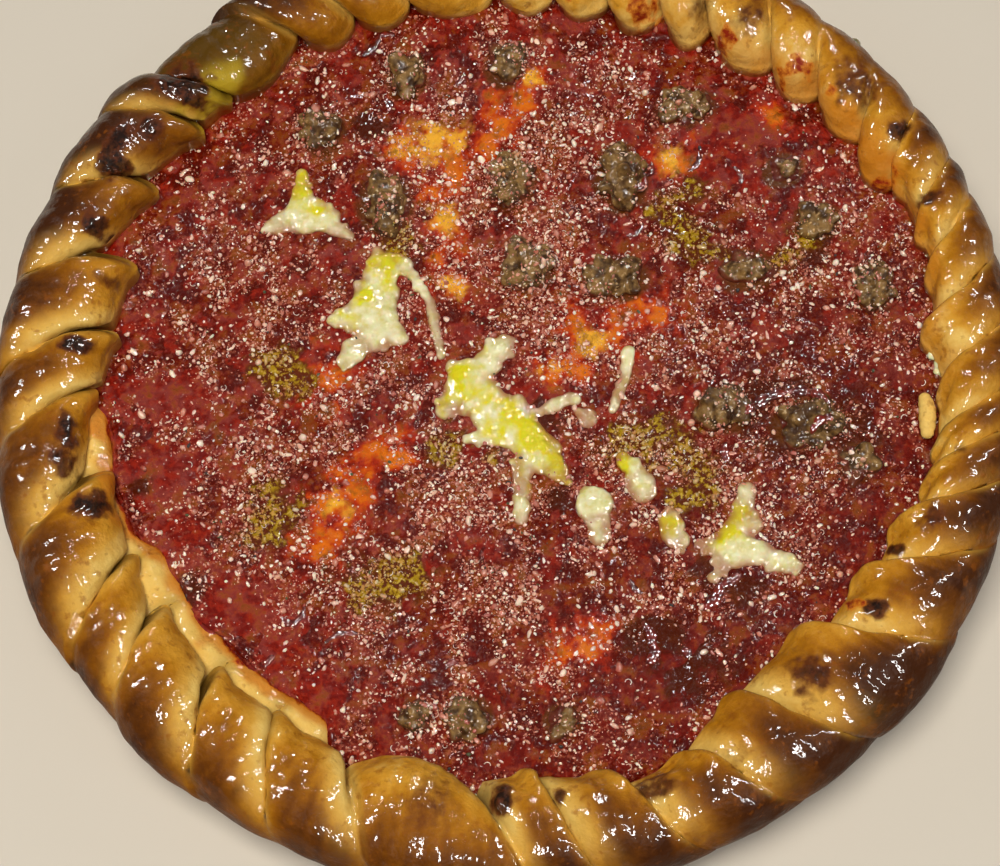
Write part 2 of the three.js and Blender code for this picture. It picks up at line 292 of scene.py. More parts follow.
world = bpy.data.worlds.new("pale_room")
bpy.context.scene.world = world
world.use_nodes = True
feed(world.node_tree, world.node_tree.nodes["Background"], {
    "Color": linear(ROOM_COLOUR), "Strength": ROOM_STRENGTH,
})
bpy.context.scene.view_settings.view_transform = "Standard"

floor_mesh = bpy.data.meshes.new("floor")
corners = [(x * FLOOR_REACH, y * FLOOR_REACH, 0) for x, y in ((-1, -1), (1, -1), (1, 1), (-1, 1))]
floor_mesh.from_pydata(corners, [], [range(4)])
floor = place_in_scene("floor", floor_mesh)
paper = bpy.data.materials.new("matt_pale_paper")  # uncoated, so it shows shadows and no reflections
paper.use_nodes = True
feed(paper.node_tree, paper.node_tree.nodes["Principled BSDF"], {
    "Base Color": linear(FLOOR_COLOUR), "Roughness": PAPER_ROUGHNESS,
})
floor_mesh.materials.append(paper)
floor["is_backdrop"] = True
print("floor:", 2 * FLOOR_REACH, "m across")

# %% [markdown]
# ## The outline that everything follows
#
# The sauce's edge isn't a circle: the case was pressed by hand. These formulas
# give that edge, the dough ledge that shows on the left where the folds end
# short of the sauce, and the sauce's long shallow waves. They are the same
# formulas as the fixed model's, so each piece made here lies where it should. On
# the lower left the ledge shows a little wider, because dough has crept inwards
# over the sauce there.

# %% The outline that everything follows
SAUCE_LEVEL = 28
SAUCE_RADIUS = 123.5
SAUCE_SHIFT_X = 2
SAUCE_SHIFT_Y = 4
SAUCE_WAVE = 0.8
SAUCE_DRAFT = 4  # how much smaller the sauce is at its base
FLOOR_HEIGHT = 20  # of the dough that it lies on
LEDGE_CREEP = 5.5
OVAL = 1.6
THREE_SIDED = 1.9
DENT = 2.5  # where the case was pressed in on the near right
LAP = 8.5  # how far the sauce runs out between two tips


def hump(degrees, middle, spread):
    """A smooth hump of height 1, `spread` degrees wide to each side of `middle`."""
    return 1 - ease(np.abs((degrees - middle + 540) % 360 - 180), 0, spread)


def sauce_edge(degrees):
    angle = np.radians(degrees)
    shift = SAUCE_SHIFT_X * np.cos(angle) + SAUCE_SHIFT_Y * np.sin(angle)
    oval = OVAL * np.cos(2 * angle - math.radians(27))
    three_sided = THREE_SIDED * np.cos(3 * angle - math.radians(36))
    return SAUCE_RADIUS + shift + oval + three_sided - DENT * hump(degrees, 300, 22)


def ledge_creep(degrees):
    """How much further in the dough ledge reaches on the lower left."""
    return LEDGE_CREEP * ease(degrees, 195, 201) * (1 - ease(degrees, 234, 241))


def bare_ledge(degrees, full=178, end=242):
    """1 on the left, where the ledge shows between the folds and the sauce, and 0 elsewhere."""
    return ease(degrees, 172, full) * (1 - ease(degrees, 236, end))


def sauce_lap(degrees):
    """How far the sauce has crept out between the tips, except where the ledge is bare."""
    angle = np.radians(degrees)
    wander = 0.9 * np.sin(7 * angle + 1) + 0.7 * np.sin(17 * angle + 2.2) + 0.5 * np.sin(31 * angle)
    return mix(LAP, 0.2 + wander - ledge_creep(degrees), bare_ledge(degrees, end=241))


def sauce_top(x, y):
    along = np.sin(x / 11 + 1.3 * np.sin(y / 17))
    across = np.sin(y / 9 + 1.2 * np.cos(x / 19))
    return SAUCE_LEVEL + SAUCE_WAVE * (along + across)


print("the sauce is", round(2 * float(sauce_edge(np.arange(360)).mean())), "mm across")

# %% [markdown]
# ## The folds of the crust
#
# A baker crimps the rim by folding the dough over itself again and again, so
# each fold is a leaning pillow. On one side it has a crisp edge that lies over
# the fold beside it, and on the other a pale tail that goes under the next. On
# the far right the pillows are even. It could be sculpted, but there are 38 of
# them, so a rule is used: the rim is one closed grid of points, and each column
# of the grid knows how far it lies across its fold.

# %% The folds of the crust
FOLDS = [  # degrees round where it starts; how far its corner and its heel stay short of the sauce's edge
    dict(at=-10, corner=-2.5, heel=3), dict(at=-2, corner=2, heel=0), dict(at=6, corner=2.5, heel=4),
    dict(at=12, corner=3.5, heel=3), dict(at=19.5, corner=-3, heel=-1.5), dict(at=27, corner=0, heel=-1),
    dict(at=35.5, corner=-1.5, heel=-1.5), dict(at=43, corner=-4, heel=-1), dict(at=53, corner=-5, heel=-1),
    dict(at=60, corner=-3, heel=-3.5), dict(at=67.5, corner=-0.5, heel=-3.5),
    dict(at=75.5, corner=-2.5, heel=-2.5),
    dict(at=84, corner=-3, heel=-1), dict(at=96, corner=0, heel=-1), dict(at=104, corner=0, heel=-2.5),
    dict(at=112, corner=3, heel=-5.5, tall=0.5), dict(at=125.5, corner=-0.5, heel=-1, tall=1.15),
    dict(at=131.5, corner=-2.5, heel=3, tall=1.12), dict(at=142.5, corner=-2.5, heel=4.5, tall=1.05),
    dict(at=154.3, corner=-6.5, heel=-4, tall=1), dict(at=165.3, corner=-5.5, heel=-2.5, tall=0.95),
    dict(at=174, corner=0.5, heel=6, tall=1.1), dict(at=186.5, corner=-0.7, heel=1.5, tall=1.15),
    dict(at=199.5, corner=1.5, heel=4, tall=0.9), dict(at=207.8, corner=0.5, heel=1.5, tall=1.05),
    dict(at=219.7, corner=0, heel=-1, tall=0.95), dict(at=230, corner=0, heel=-0.5, tall=1.05),
    dict(at=241.5, corner=0, heel=2.5, bow=5, tall=1.1), dict(at=259, corner=-1, heel=0.5, tall=0.95),
    dict(at=266, corner=4.5, heel=-0.7, tall=1), dict(at=276, corner=7, heel=8, tall=0.95),
    dict(at=286.3, corner=1, heel=6.5, bow=1, tall=1),
    dict(at=296.5, corner=-2.5, heel=1.5, bow=1, tall=1.1),
    dict(at=310, corner=-0.5, heel=3, tall=1.05), dict(at=321.5, corner=0.5, heel=4, tall=0.95),
    dict(at=330, corner=4.5, heel=4, tall=0.85), dict(at=336.5, corner=4.5, heel=5, tall=0.85),
    dict(at=342, corner=2.5, heel=4, tall=0.9),
]
print(len(FOLDS), "folds")

# %% The columns of the grid
COLUMNS = 1064
CROWDING = 1.6  # how strongly the columns crowd towards a fold's crisp side
POINTED = 2.6  # how far a fold's inner edge draws back behind its pointed corner

seams = np.array([fold["at"] for fold in FOLDS])
fold_ends = np.append(seams[1:], seams[0] + 360)
fold_middles = (seams + fold_ends) / 2
order = np.arange(len(FOLDS))
fold_heights = np.array([fold.get("tall", 1) for fold in FOLDS]) + 0.06 * np.sin(order * 2.4)
left_side = (fold_middles > 125) & (fold_middles < 250)
near_or_right = (fold_middles > 259) | (fold_middles < 18)
crisp_sides = near_or_right.astype(int) - left_side.astype(int)

column_parts = []
for fold, (start, end, side) in enumerate(zip(seams, fold_ends, crisp_sides)):
    count = round(COLUMNS * (end - start) / 360)
    even = np.arange(count) / count
    fraction = (even**CROWDING, even, 1 - (1 - even) ** CROWDING)[side + 1]
    column_parts.append(np.stack([np.full(count, fold), fraction, start + fraction * (end - start)]))
fold_of, fraction, column_angle = np.concatenate(column_parts, axis=1)
fold_of = fold_of.astype(int)
side = crisp_sides[fold_of]
fold_height = fold_heights[fold_of]
fold_width = (fold_ends - seams)[fold_of] * math.radians(1) * 150
from_crisp = np.where(side > 0, 1 - fraction, fraction)
to_seam = np.minimum(fraction, 1 - fraction) * fold_width
corner, heel, bow = (
    np.array([fold.get(key, 0.8) for fold in FOLDS])[fold_of] for key in ("corner", "heel", "bow")
)
short_of_edge = mix(corner, heel, from_crisp) - bow * np.sin(math.pi * from_crisp)
short_of_edge += POINTED * np.abs(side) * (ease(from_crisp, 0.04, 0.38) - 0.35)
print("columns:", len(column_angle))

# %% [markdown]
# ## The rim's section
#
# Seen in section, the rim is an arch from the outer wall to a foot beside the
# sauce. A fold is pushed out of that arch: outwards at the wall, upwards at the
# crest and inwards at its tip. Below the tip the dough turns back under itself,
# which gives the dark gap between the tips and the ledge.

# %% The rim's section
WALL_RADIUS = 149.5
WIDEST_HEIGHT = 29
CREST_HEIGHT = 39
FOOT_RADIUS = 138
FOOT_ROUNDING = 5
INNER_FOOT_HEIGHT = 32
INNER_FOOT_GAP = 7.5  # from the sauce's edge to the foot between two tips
FOLD_BULGE = 3.8
FOLD_RISE = 7
FOLD_LEAN = 9 + 3.5 * hump(column_angle, 322, 70)  # degrees round, from the ledge to the wall
FOLD_FADE_HEIGHT = 5
TIP_DROOP = 1.12  # how much faster than the arch the push turns down
TIP_TURN = 150  # where round the arch the tips lie, in degrees
RIM_SPAN = 172  # where round the arch the ledge begins
CLIFF = 0.03  # part of a fold's width over which its crisp side climbs
WIDE_CLIFF = 0.16  # the same, at the outer wall
PEAK = 0.42  # where across the fold it is highest
TAIL = 0.02  # how high the tail ends, as a part of the fold's height
OVERHANG = 3.6  # how far the crisp edge leans over the next fold
LIP_HEIGHT = 1.1  # how far that edge stands up
TRENCH = 1.6  # how deep the line between two folds is cut
UNDERCUT = 2.8  # how far the dough turns back under a tip
LEDGE_HEIGHT = 30.6
OUTER_DEPTH = 0.25  # how deep the folds are cut at the wall, as a part of their height


def fold_shape(turn):
    """How far each column stands out of the rim, 0 to 1. The folds grow deeper inwards."""
    inner = ease(turn, 40, 135)
    width = mix(WIDE_CLIFF, CLIFF, inner)
    cliff = 1 - np.exp(-from_crisp / width)
    rising = mix(0.74, 1, ease(from_crisp, 0, PEAK))
    fall = np.clip((from_crisp - PEAK) / (1 - PEAK), 0, 1)
    falling = mix(TAIL, 1, np.cos(fall * math.pi / 2) ** 0.85)
    crisp = cliff * np.where(from_crisp < PEAK, rising, falling)
    even = np.sin(math.pi * np.clip(fraction, 0, 1)) ** mix(0.9, 0.4, inner)
    depth = np.where(side == 0, mix(0.16, 0.8, inner), mix(OUTER_DEPTH, 1, inner))
    return (1 - depth + depth * np.where(side == 0, even, crisp)) * fold_height


def tip_shape():
    cliff = 1 - np.exp(-from_crisp / CLIFF)
    crisp = cliff * (1 - ease(from_crisp, 0.88, 1))
    even = np.sin(math.pi * np.clip(fraction, 0, 1)) ** 0.35
    return np.where(side == 0, even, crisp)


print("the folds lean by", round(float(FOLD_LEAN.min())), "to", round(float(FOLD_LEAN.max())), "degrees")

# %% Rows of the rim
tips = tip_shape()
lip = np.exp(-((from_crisp / 0.09) ** 2)) * (1 - np.exp(-from_crisp / CLIFF)) * np.abs(side)
trench = -TRENCH * np.exp(-((to_seam / 1.1) ** 2))
edge = sauce_edge(column_angle)
shore = edge - ledge_creep(column_angle)
inner_radius = edge + INNER_FOOT_GAP
tip_reach = (INNER_FOOT_GAP - short_of_edge) * tips


def wall_row(height):
    climb = math.sin(height / WIDEST_HEIGHT * math.pi / 2)
    plain = mix(FOOT_RADIUS + FOOT_ROUNDING, WALL_RADIUS, climb)
    fade = np.clip((height - FOLD_FADE_HEIGHT) / (WIDEST_HEIGHT - FOLD_FADE_HEIGHT), 0, 1)
    return plain + fold_shape(0) * FOLD_BULGE * fade, height + 0 * edge, FOLD_LEAN


def rim_row(turn):
    angle = math.radians(turn)
    middle = (WALL_RADIUS + inner_radius) / 2
    half_width = (WALL_RADIUS - inner_radius) / 2
    foot_rise = INNER_FOOT_HEIGHT - WIDEST_HEIGHT
    arch_rise = CREST_HEIGHT - WIDEST_HEIGHT - foot_rise / 2
    arch = arch_rise * math.sin(angle) + foot_rise * math.sin(angle / 2) ** 2
    push_angle = math.radians(min(turn * TIP_DROOP, 180))
    shape = fold_shape(turn)
    if turn <= 90:
        push = shape * mix(FOLD_BULGE, FOLD_RISE, math.sin(angle))
    else:
        to_tip = min((turn - 90) / (TIP_TURN - 90), 1)
        push = mix(shape * FOLD_RISE, tip_reach, to_tip)
    inner = ease(turn, 40, 135)
    push = push + trench * inner + LIP_HEIGHT * lip * ease(turn, 85, 135)
    radius = middle + half_width * math.cos(angle) + push * math.cos(push_angle)
    height = WIDEST_HEIGHT + arch + push * math.sin(push_angle)
    over = OVERHANG * lip * inner * side / WALL_RADIUS / math.radians(1)
    return radius, height, FOLD_LEAN * (1 - turn / RIM_SPAN) + over


def ledge_row(share):
    """From under the tips at share 0 to the sauce's edge at 1."""
    tip_radius, tip_height, _ = rim_row(RIM_SPAN)
    tucked = tip_radius + UNDERCUT * tips * ease(share, 0, 0.25)
    radius = mix(tucked, shore - 0.5, np.clip((share - 0.2) / 0.8, 0, 1) ** 1.2)
    ledge_top = mix(tip_height, LEDGE_HEIGHT, ease(share, 0, 0.35))
    dipped = SAUCE_LEVEL + 0.4 + 0.55 * (radius - edge - sauce_lap(column_angle))
    return radius, np.minimum(ledge_top, dipped), 0 * edge


print("the tips reach up to", round(float(tip_reach.max()), 1), "mm past the foot")

# %% The rim's grid
BASE_RADII = (40, 90, 125, 134)
FOOT_TURNS = (30, 55, 75, 90)  # degrees round the foot's rounding
FOOT_RISE = 2
WALL_HEIGHTS = np.linspace(3.5, 27.5, 14)
RIM_TURNS = np.linspace(0, RIM_SPAN, 50)
LEDGE_SHARES = np.linspace(0, 1, 13)[1:]
HIDDEN_RADIUS = 60  # of the last row under the sauce

soft = fold_shape(0)
crisp = fold_shape(RIM_SPAN)
flat = 0 * edge
rows = [(radius + flat, flat, FOLD_LEAN) for radius in BASE_RADII]
for turn in FOOT_TURNS:
    around = math.radians(turn)
    foot = FOOT_RADIUS + FOOT_ROUNDING * math.sin(around)
    rows.append((foot + flat, FOOT_RISE * (1 - math.cos(around)) + flat, FOLD_LEAN))
rows += [wall_row(height) for height in WALL_HEIGHTS]
first_rim_row = len(rows)
rows += [rim_row(turn) for turn in RIM_TURNS]
rows += [ledge_row(share) for share in LEDGE_SHARES]
last_shown_row = len(rows)
rows.append((shore - 1.5, SAUCE_LEVEL - 4 + flat, flat))
rows.append((shore - SAUCE_DRAFT, FLOOR_HEIGHT + flat, flat))
rows.append((HIDDEN_RADIUS + flat, FLOOR_HEIGHT + flat, flat))

radius, height, lean = (np.array(part) for part in zip(*rows))
around = np.radians(column_angle + lean)
crust_points = np.stack([radius * np.cos(around), radius * np.sin(around), height], axis=-1)
print("crust grid:", crust_points.shape)

# %% [markdown]
# ## Swells, wrinkles and blisters of the crust
#
# Baked dough swells unevenly, wrinkles along its folds and blisters where it
# chars. Each of these is a noise of its own size, added along the normals, and
# is left out under the sauce and on the base. The char marks are placed by the
# degrees round the rim and how far out from the middle they lie.

# %% The char marks
CHAR_MARKS = [  # degrees round, millimetres from the middle, long, wide, how dark
    dict(at=129.4, out=136.5, long=7, wide=8.5, dark=1),
    dict(at=143.7, out=136.1, long=5.5, wide=4.2, dark=1),
    dict(at=140.4, out=138.2, long=6, wide=4, dark=1),
    dict(at=137.3, out=133, long=5, wide=3.6, dark=0.9),
    dict(at=152, out=133, long=3.5, wide=5, dark=0.9),
    dict(at=159, out=122.5, long=2, wide=4.5, dark=0.6),
    dict(at=169.3, out=127, long=2.2, wide=5, dark=1),
    dict(at=181, out=130.5, long=5.5, wide=2.6, dark=0.9),
    dict(at=185.2, out=132.5, long=4.5, wide=3.2, dark=0.85),
    dict(at=192, out=128, long=4.6, wide=5.2, dark=0.95),
    dict(at=254, out=130.5, long=8, wide=7.5, dark=0.5),
    dict(at=263, out=128, long=3.6, wide=4.4, dark=1),
    dict(at=270, out=128.5, long=1.8, wide=2.6, dark=0.75),
    dict(at=282, out=132, long=7, wide=4.5, dark=0.7),
    dict(at=292.5, out=133.5, long=5, wide=3, dark=0.35),
    dict(at=306, out=127.5, long=6.5, wide=6, dark=0.75),
    dict(at=317.7, out=129, long=3.2, wide=3.6, dark=0.95),
    dict(at=326.8, out=126.5, long=2, wide=3, dark=0.9),
    dict(at=331.7, out=132.5, long=4.5, wide=4, dark=0.7),
    dict(at=341.2, out=136, long=2, wide=2, dark=0.5),
    dict(at=14.6, out=138, long=2.6, wide=3.2, dark=0.85),
    dict(at=24.3, out=141.5, long=3, wide=3.8, dark=0.85),
    dict(at=32.3, out=140.5, long=7.5, wide=7, dark=0.65),
    dict(at=48.7, out=137, long=5, wide=7, dark=0.6),
    dict(at=55.5, out=134, long=4, wide=6, dark=0.5),
    dict(at=68, out=137, long=4, wide=5, dark=0.4),
    dict(at=90, out=136, long=5, wide=5, dark=0.4),
]
print("char marks:", len(CHAR_MARKS))

# %% Where each point of the crust lies
shown = np.zeros(crust_points.shape[:2])
shown[8:last_shown_row] = 1
shown[5:8] = 0.5
normals = outward(crust_points)
path = np.arange(len(rows))[:, None] * 1.5 + 0 * radius
along_fold = np.stack([around * 150 / 2.6, path / 16, fold_of + 0 * radius], axis=-1)
turn_of_row = np.full(len(rows), -20.0)
turn_of_row[first_rim_row : first_rim_row + len(RIM_TURNS)] = RIM_TURNS
turn_of_row[first_rim_row + len(RIM_TURNS) :] = 180
turn_of_row[:first_rim_row] = np.linspace(-60, -2, first_rim_row)
turn = turn_of_row[:, None] + 0 * radius

place_round = np.degrees(np.arctan2(crust_points[..., 1], crust_points[..., 0])) % 360
place_out = np.hypot(crust_points[..., 0], crust_points[..., 1])
print("the crust is", round(2 * float(place_out.max())), "mm across")

# %% Charred places and swells
ragged = 0.3 * swell(crust_points, 3.2, 5) + 0.16 * swell(crust_points, 1.4, 6)
charred = np.zeros_like(radius)
for mark in CHAR_MARKS:
    away = (place_round - mark["at"] + 540) % 360 - 180
    sideways = away * math.radians(1) * mark["out"] / mark["long"]
    outwards = (place_out - mark["out"]) / mark["wide"]
    inside = 1 - np.hypot(sideways, outwards) + ragged
    charred = np.maximum(charred, mark["dark"] * ease(inside, -0.6, 0.6))
charred *= (turn > 20) & (turn < 171)

wrinkle = swell(along_fold, 1, 11) * ease(turn, 20, 60) * (1 - ease(turn, 165, 175))
blister = charred * np.maximum(swell(crust_points, 2.4, 21), 0)
lift = 0.55 * swell(crust_points, 13, 1) + 0.22 * swell(crust_points, 4.5, 2)
lift += 0.22 * wrinkle + 0.5 * blister
on_ledge = (turn > 174) * bare_ledge(place_round, full=180)
lift += 0.8 * swell(crust_points, 5, 3) * on_ledge
crust_points += normals * (lift * shown)[..., None]
print("tallest point:", round(float(crust_points[..., 2].max()), 1), "mm")

# %% [markdown]
# ## The crust as one closed mesh
#
# The rows and columns are joined into faces, and a fan of triangles closes the
# base and the hidden floor. Ten numbers are kept at each point for the material
# to read, such as how far it is baked (which also carries painted shade, darker
# towards the outer wall), how pale it stayed under its neighbour, how charred it
# is and how much sauce was smeared on it. Two of them are painted light: a painted
# highlight along each crisp edge and painted shade in the crevices.

# %% Smears and browner places
SMEARS = [  # degrees round, millimetres from the middle, size
    dict(at=39.8, out=131.5, size=4.5),
    dict(at=34, out=133, size=2.6),
    dict(at=32, out=125, size=3),
    dict(at=62, out=126, size=6),
    dict(at=74, out=128, size=5),
    dict(at=50, out=127, size=4),
    dict(at=317.5, out=124.5, size=3),
    dict(at=20, out=131, size=3.5),
]
BROWNER = [  # degrees round, how far to each side, how much more baked there
    dict(at=126, spread=46, more=0.3),
    dict(at=108, spread=22, more=0.16),
    dict(at=166, spread=40, more=0.04),
    dict(at=242, spread=16, more=0.04),
    dict(at=292, spread=34, more=0.14),
    dict(at=325, spread=26, more=0.06),
    dict(at=48, spread=46, more=-0.14),
    dict(at=0, spread=26, more=-0.12),
    dict(at=300, spread=14, more=0.12),
    dict(at=140, spread=14, more=0.14),
]
print("browner places:", len(BROWNER), " smears:", len(SMEARS))

# %% Faces of a closed grid


def closed_grid(points):
    """Faces of a grid of rows and columns that closes round, with a pole at each end."""
    row_count, column_count = points.shape[:2]
    number = np.arange(row_count * column_count).reshape(row_count, column_count)
    onward = np.roll(number, -1, axis=1)
    quads = np.stack([number[:-1], onward[:-1], onward[1:], number[1:]], axis=-1)
    bottom, top = row_count * column_count, row_count * column_count + 1
    lowest = np.stack([np.full(column_count, bottom), onward[0], number[0]], axis=-1)
    highest = np.stack([np.full(column_count, top), number[-1], onward[-1]], axis=-1)
    return [*quads.reshape(-1, 4).tolist(), *lowest.tolist(), *highest.tolist()]


def with_poles(grid, bottom, top):
    return np.concatenate([grid.reshape(len(grid) * grid.shape[1], -1), [bottom], [top]])


# %% How far each place is baked, and painted shade on the outer wall
broad = swell(crust_points, 17, 31)
mottle = swell(crust_points, 5, 32)
streak = swell(along_fold * 1.3, 1, 33)
inner = ease(turn, 40, 135)
raised = mix(soft / fold_height, crisp / fold_height, inner)
crown = ease(turn, -30, 35) * (1 - 0.55 * ease(turn, 95, 140)) * (1 - 0.7 * ease(turn, 140, 168))
# painted shade: the rim counts as more baked towards its outer wall, so it is painted darker there
outwards = 1 - ease(turn, 52, 128)
baked = 0.16 + 0.5 * outwards + crown * 0.3 * (raised**1.2 - 0.45)
baked += crown * (0.13 * broad + 0.09 * streak) + 0.06 * mottle
across = 0.2 * np.exp(-(((from_crisp - 0.35) / 0.25) ** 2)) - 0.14 * ease(from_crisp, 0.6, 0.95)
# the last term is more painted shade low on the outer wall
baked += crown * across * np.abs(side) + 0.12 * (1 - ease(turn, 5, 60))
for shade in BROWNER:
    baked += shade["more"] * hump(column_angle, shade["at"], shade["spread"])
pale = ease(from_crisp, 0.52, 0.92) * np.abs(side) * ease(turn, 30, 105)
pale *= 1 - 0.7 * hump(column_angle, 335, 75) * (1 - ease(turn, 105, 150))
pale = np.maximum(pale, (1 - ease(to_seam, 0.6, 3)) * inner * (side == 0) * 0.6)
pale = np.maximum(pale, ease(turn, 170, 176) * 0.9)
baked = mix(np.clip(baked, 0, 1.2), 0.1 + 0.08 * mottle, 0.9 * pale)
print("baked, from pale to brown:", round(float(baked.min()), 2), "to", round(float(baked.max()), 2))

# %% Painted highlights on the ridges, painted shade in the crevices, and olive and buttery places
# painted highlight: a thin bright line along each crisp edge
ridge_highlight = np.exp(-((from_crisp * fold_width / 1.4) ** 2)) * np.abs(side) * ease(turn, 25, 80)
# painted shade: dark in the crevices between the folds, towards their inner ends
gap = np.exp(-((to_seam / 1.4) ** 2)) * ease(turn, 95, 140) * (np.abs(side) * 0.8 + 0.2)
gap *= 1 - ease(turn, 168, 176)
olive = ease(hump(column_angle, 119.5, 12), 0, 0.8) * ease(turn, 10, 50) * (1 - 0.35 * ease(turn, 120, 150))
olive = np.maximum(olive, 0.5 * pale * np.exp(-((to_seam / 3.5) ** 2)) * ease(turn, 60, 120))
buttery = ease(hump(place_round + 2.5 * mottle, 128, 8), 0.1, 0.9) * ease(place_out, 139, 131)
buttery *= ease(turn, 95, 125) * (1 - ease(turn, 168, 174))
print("mean olive and buttery:", round(float(olive.mean()), 3), round(float(buttery.mean()), 3))

# %% Sauce and oil on the crust
smeared = np.zeros_like(radius)
for smear in SMEARS:
    away = (place_round - smear["at"] + 540) % 360 - 180
    reach = np.hypot(away * math.radians(1) * smear["out"], place_out - smear["out"]) / smear["size"]
    smeared = np.maximum(smeared, ease(1 - reach + 0.6 * mottle + ragged, 0, 0.5))
bare = bare_ledge(place_round)
shore_of_place = sauce_edge(place_round) - ledge_creep(place_round)
beyond_shore = place_out - shore_of_place
above_shore = crust_points[..., 2] - SAUCE_LEVEL
soaking = ease(1.3 + 1.1 * mottle - above_shore, -0.6, 1) * (turn > 120)
soaking *= 1 - bare * ease(beyond_shore + mottle, 0, 1.2)
oiled = ease(3.2 + 2.6 * mottle - beyond_shore, -1.5, 2) * (turn > 140) * bare
right_feet = hump(place_round, 22, 50) * ease(turn, 100, 140)
oiled = np.maximum(oiled, right_feet * ease(7 + 4 * mottle - beyond_shore, -2, 5))
smeared = np.maximum(smeared * 0.8, soaking)
glazed = mix(0.04, 1, ease(turn, 20, 70)) * (1 - 0.5 * ease(turn, 120, 160))
print("mean smeared and oiled:", round(float(smeared.mean()), 3), round(float(oiled.mean()), 3))

# %% The crust's mesh
crust_mesh = mesh_from(
    "crust", with_poles(crust_points, (0, 0, 0), (0, 0, FLOOR_HEIGHT)), closed_grid(crust_points)
)
crust_marks = dict(
    baked=baked, pale=pale, ridge_highlight=ridge_highlight, gap=gap, olive=olive, buttery=buttery,
    oiled=oiled, charred=charred, smeared=smeared, glazed=glazed,
)
for name, values in crust_marks.items():
    paint(crust_mesh, name, np.append(values.ravel(), (0, 0)))
crust = place_in_scene("crust_baked", crust_mesh)
print("crust:", len(crust_mesh.polygons), "faces")

# %% [markdown]
# ## How the materials are made
#
# A food's colour is a few clear layers over one another: browned over pale,
# charred over browned, oil over all. So each material here is a recipe in
# tables. Its marks are the numbers kept on the mesh, and its noises have sizes
# in millimetres. Sums mix a noise into a mark, so that the mark's edge comes
# out ragged, and each layer of colour goes by one of these. One function reads
# a recipe and adds the nodes.

# %% How the materials are made


def per_metre(size):
    """The scale that gives a pattern its features `size` millimetres across."""
    return 1 / (size * MM)


def layered(tree, seen, curve, base, *layers):
    """Colours laid over a base colour, each where the value it goes by rises from low to high."""
    colour = linear(base)
    for layer in layers:
        share = add(tree, "ShaderNodeMapRange", {
            "Value": seen[layer["by"]], "From Min": layer.get("low", 0.0),
            "From Max": layer.get("high", 1.0), "To Max": layer.get("most", 1.0),
        }, interpolation_type=curve)
        if "within" in layer:
            share = add(tree, "ShaderNodeMath", {0: share, 1: seen[layer["within"]]}, operation="MULTIPLY")
        over = layer["colour"]
        over = linear(over) if isinstance(over, str) else layered(tree, seen, curve, *over)
        colour = add(tree, "ShaderNodeMix", {"Factor": share, "A": colour, "B": over}, data_type="RGBA")
    return colour


def make_material(name, colours, marks=(), noises={}, sums={}, shares={}, bumps=(), curve="LINEAR", **finish):
    """Makes a material from a recipe.

    The colours are a base and its layers, and a layer's own colour may be such a list too. A
    noise has a size in millimetres, a detail, a roughness and a bend. A sum is a value, what it
    is multiplied by, and what is added. A share is a value, the two numbers between which it
    rises, and what it rises to. A bump names its socket, its height, its strength and its depth
    in millimetres. A finish is a number, or a value and its two ends.
    """
    material = bpy.data.materials.new(name)
    material.use_nodes = True
    tree = material.node_tree
    place = add(tree, "ShaderNodeTexCoord").outputs["Object"]
    seen = {mark: add(tree, "ShaderNodeAttribute", attribute_name=mark).outputs["Fac"] for mark in marks}
    for title, noise in noises.items():
        seen[title] = add(tree, "ShaderNodeTexNoise", {
            "Vector": place, "Scale": per_metre(noise["size"]), "Detail": noise["detail"],
            "Roughness": noise.get("rough", 0.5), "Distortion": noise.get("bent", 0.0),
        })
    for title, (value, weight, more) in sums.items():
        seen[title] = add(tree, "ShaderNodeMath", {
            0: seen[value], 1: weight, 2: seen.get(more, more),
        }, operation="MULTIPLY_ADD")
    for title, (value, low, high, most) in shares.items():
        seen[title] = add(tree, "ShaderNodeMapRange", {
            "Value": seen[value], "From Min": low, "From Max": high, "To Max": most,
        }, interpolation_type=curve)

    links = {"Base Color": layered(tree, seen, curve, *colours)}
    for bump in bumps:
        before = {"Normal": links[bump["on"]]} if bump["on"] in links else {}
        links[bump["on"]] = add(tree, "ShaderNodeBump", {
            "Height": seen[bump["height"]], "Strength": seen.get(bump["strength"], bump["strength"]),
            "Distance": bump["depth"] * MM, **before,
        })
    for title, value in finish.items():
        if isinstance(value, tuple):
            by, low, high = value
            value = add(tree, "ShaderNodeMapRange", {"Value": seen[by], "To Min": low, "To Max": high})
        links[title.replace("_", " ").title().replace("Ior", "IOR")] = value
    feed(tree, tree.nodes["Principled BSDF"], links)
    print(f"{name}: {len(tree.nodes)} nodes")
    return material


print("a pattern of 2 mm has the scale", per_metre(2))

# %% [markdown]
# ## Baked dough
#
# The real surface is wheat dough, brushed with oil and baked: cream where it was
# covered, golden on its flanks, brown on its crests and black at a few blisters.
# The brushed fat leaves a thin gloss over a matt crumb, so the material has a
# low-gloss base under a clear coat, and a fine bump breaks the highlight up.
# Flour grains, freckles and browned spots are noises of 0.8 to 11 mm. Painted
# shade darkens the outer wall and the crevices between the tips, and a painted
# highlight lines each crisp edge.

# %% Baked dough
# this baking scale also carries the painted shade of the outer wall
BAKING = [  # how far baked, and its colour there
    (0.0, "#EECC74"), (0.2, "#D8A034"), (0.42, "#B87C14"), (0.64, "#90580A"), (0.86, "#6C3C08"),
    (1.1, "#452208"),
]
CHARCOAL = ("#180A05", dict(by="crackle", low=0.45, high=0.7, colour="#5A2A12"))

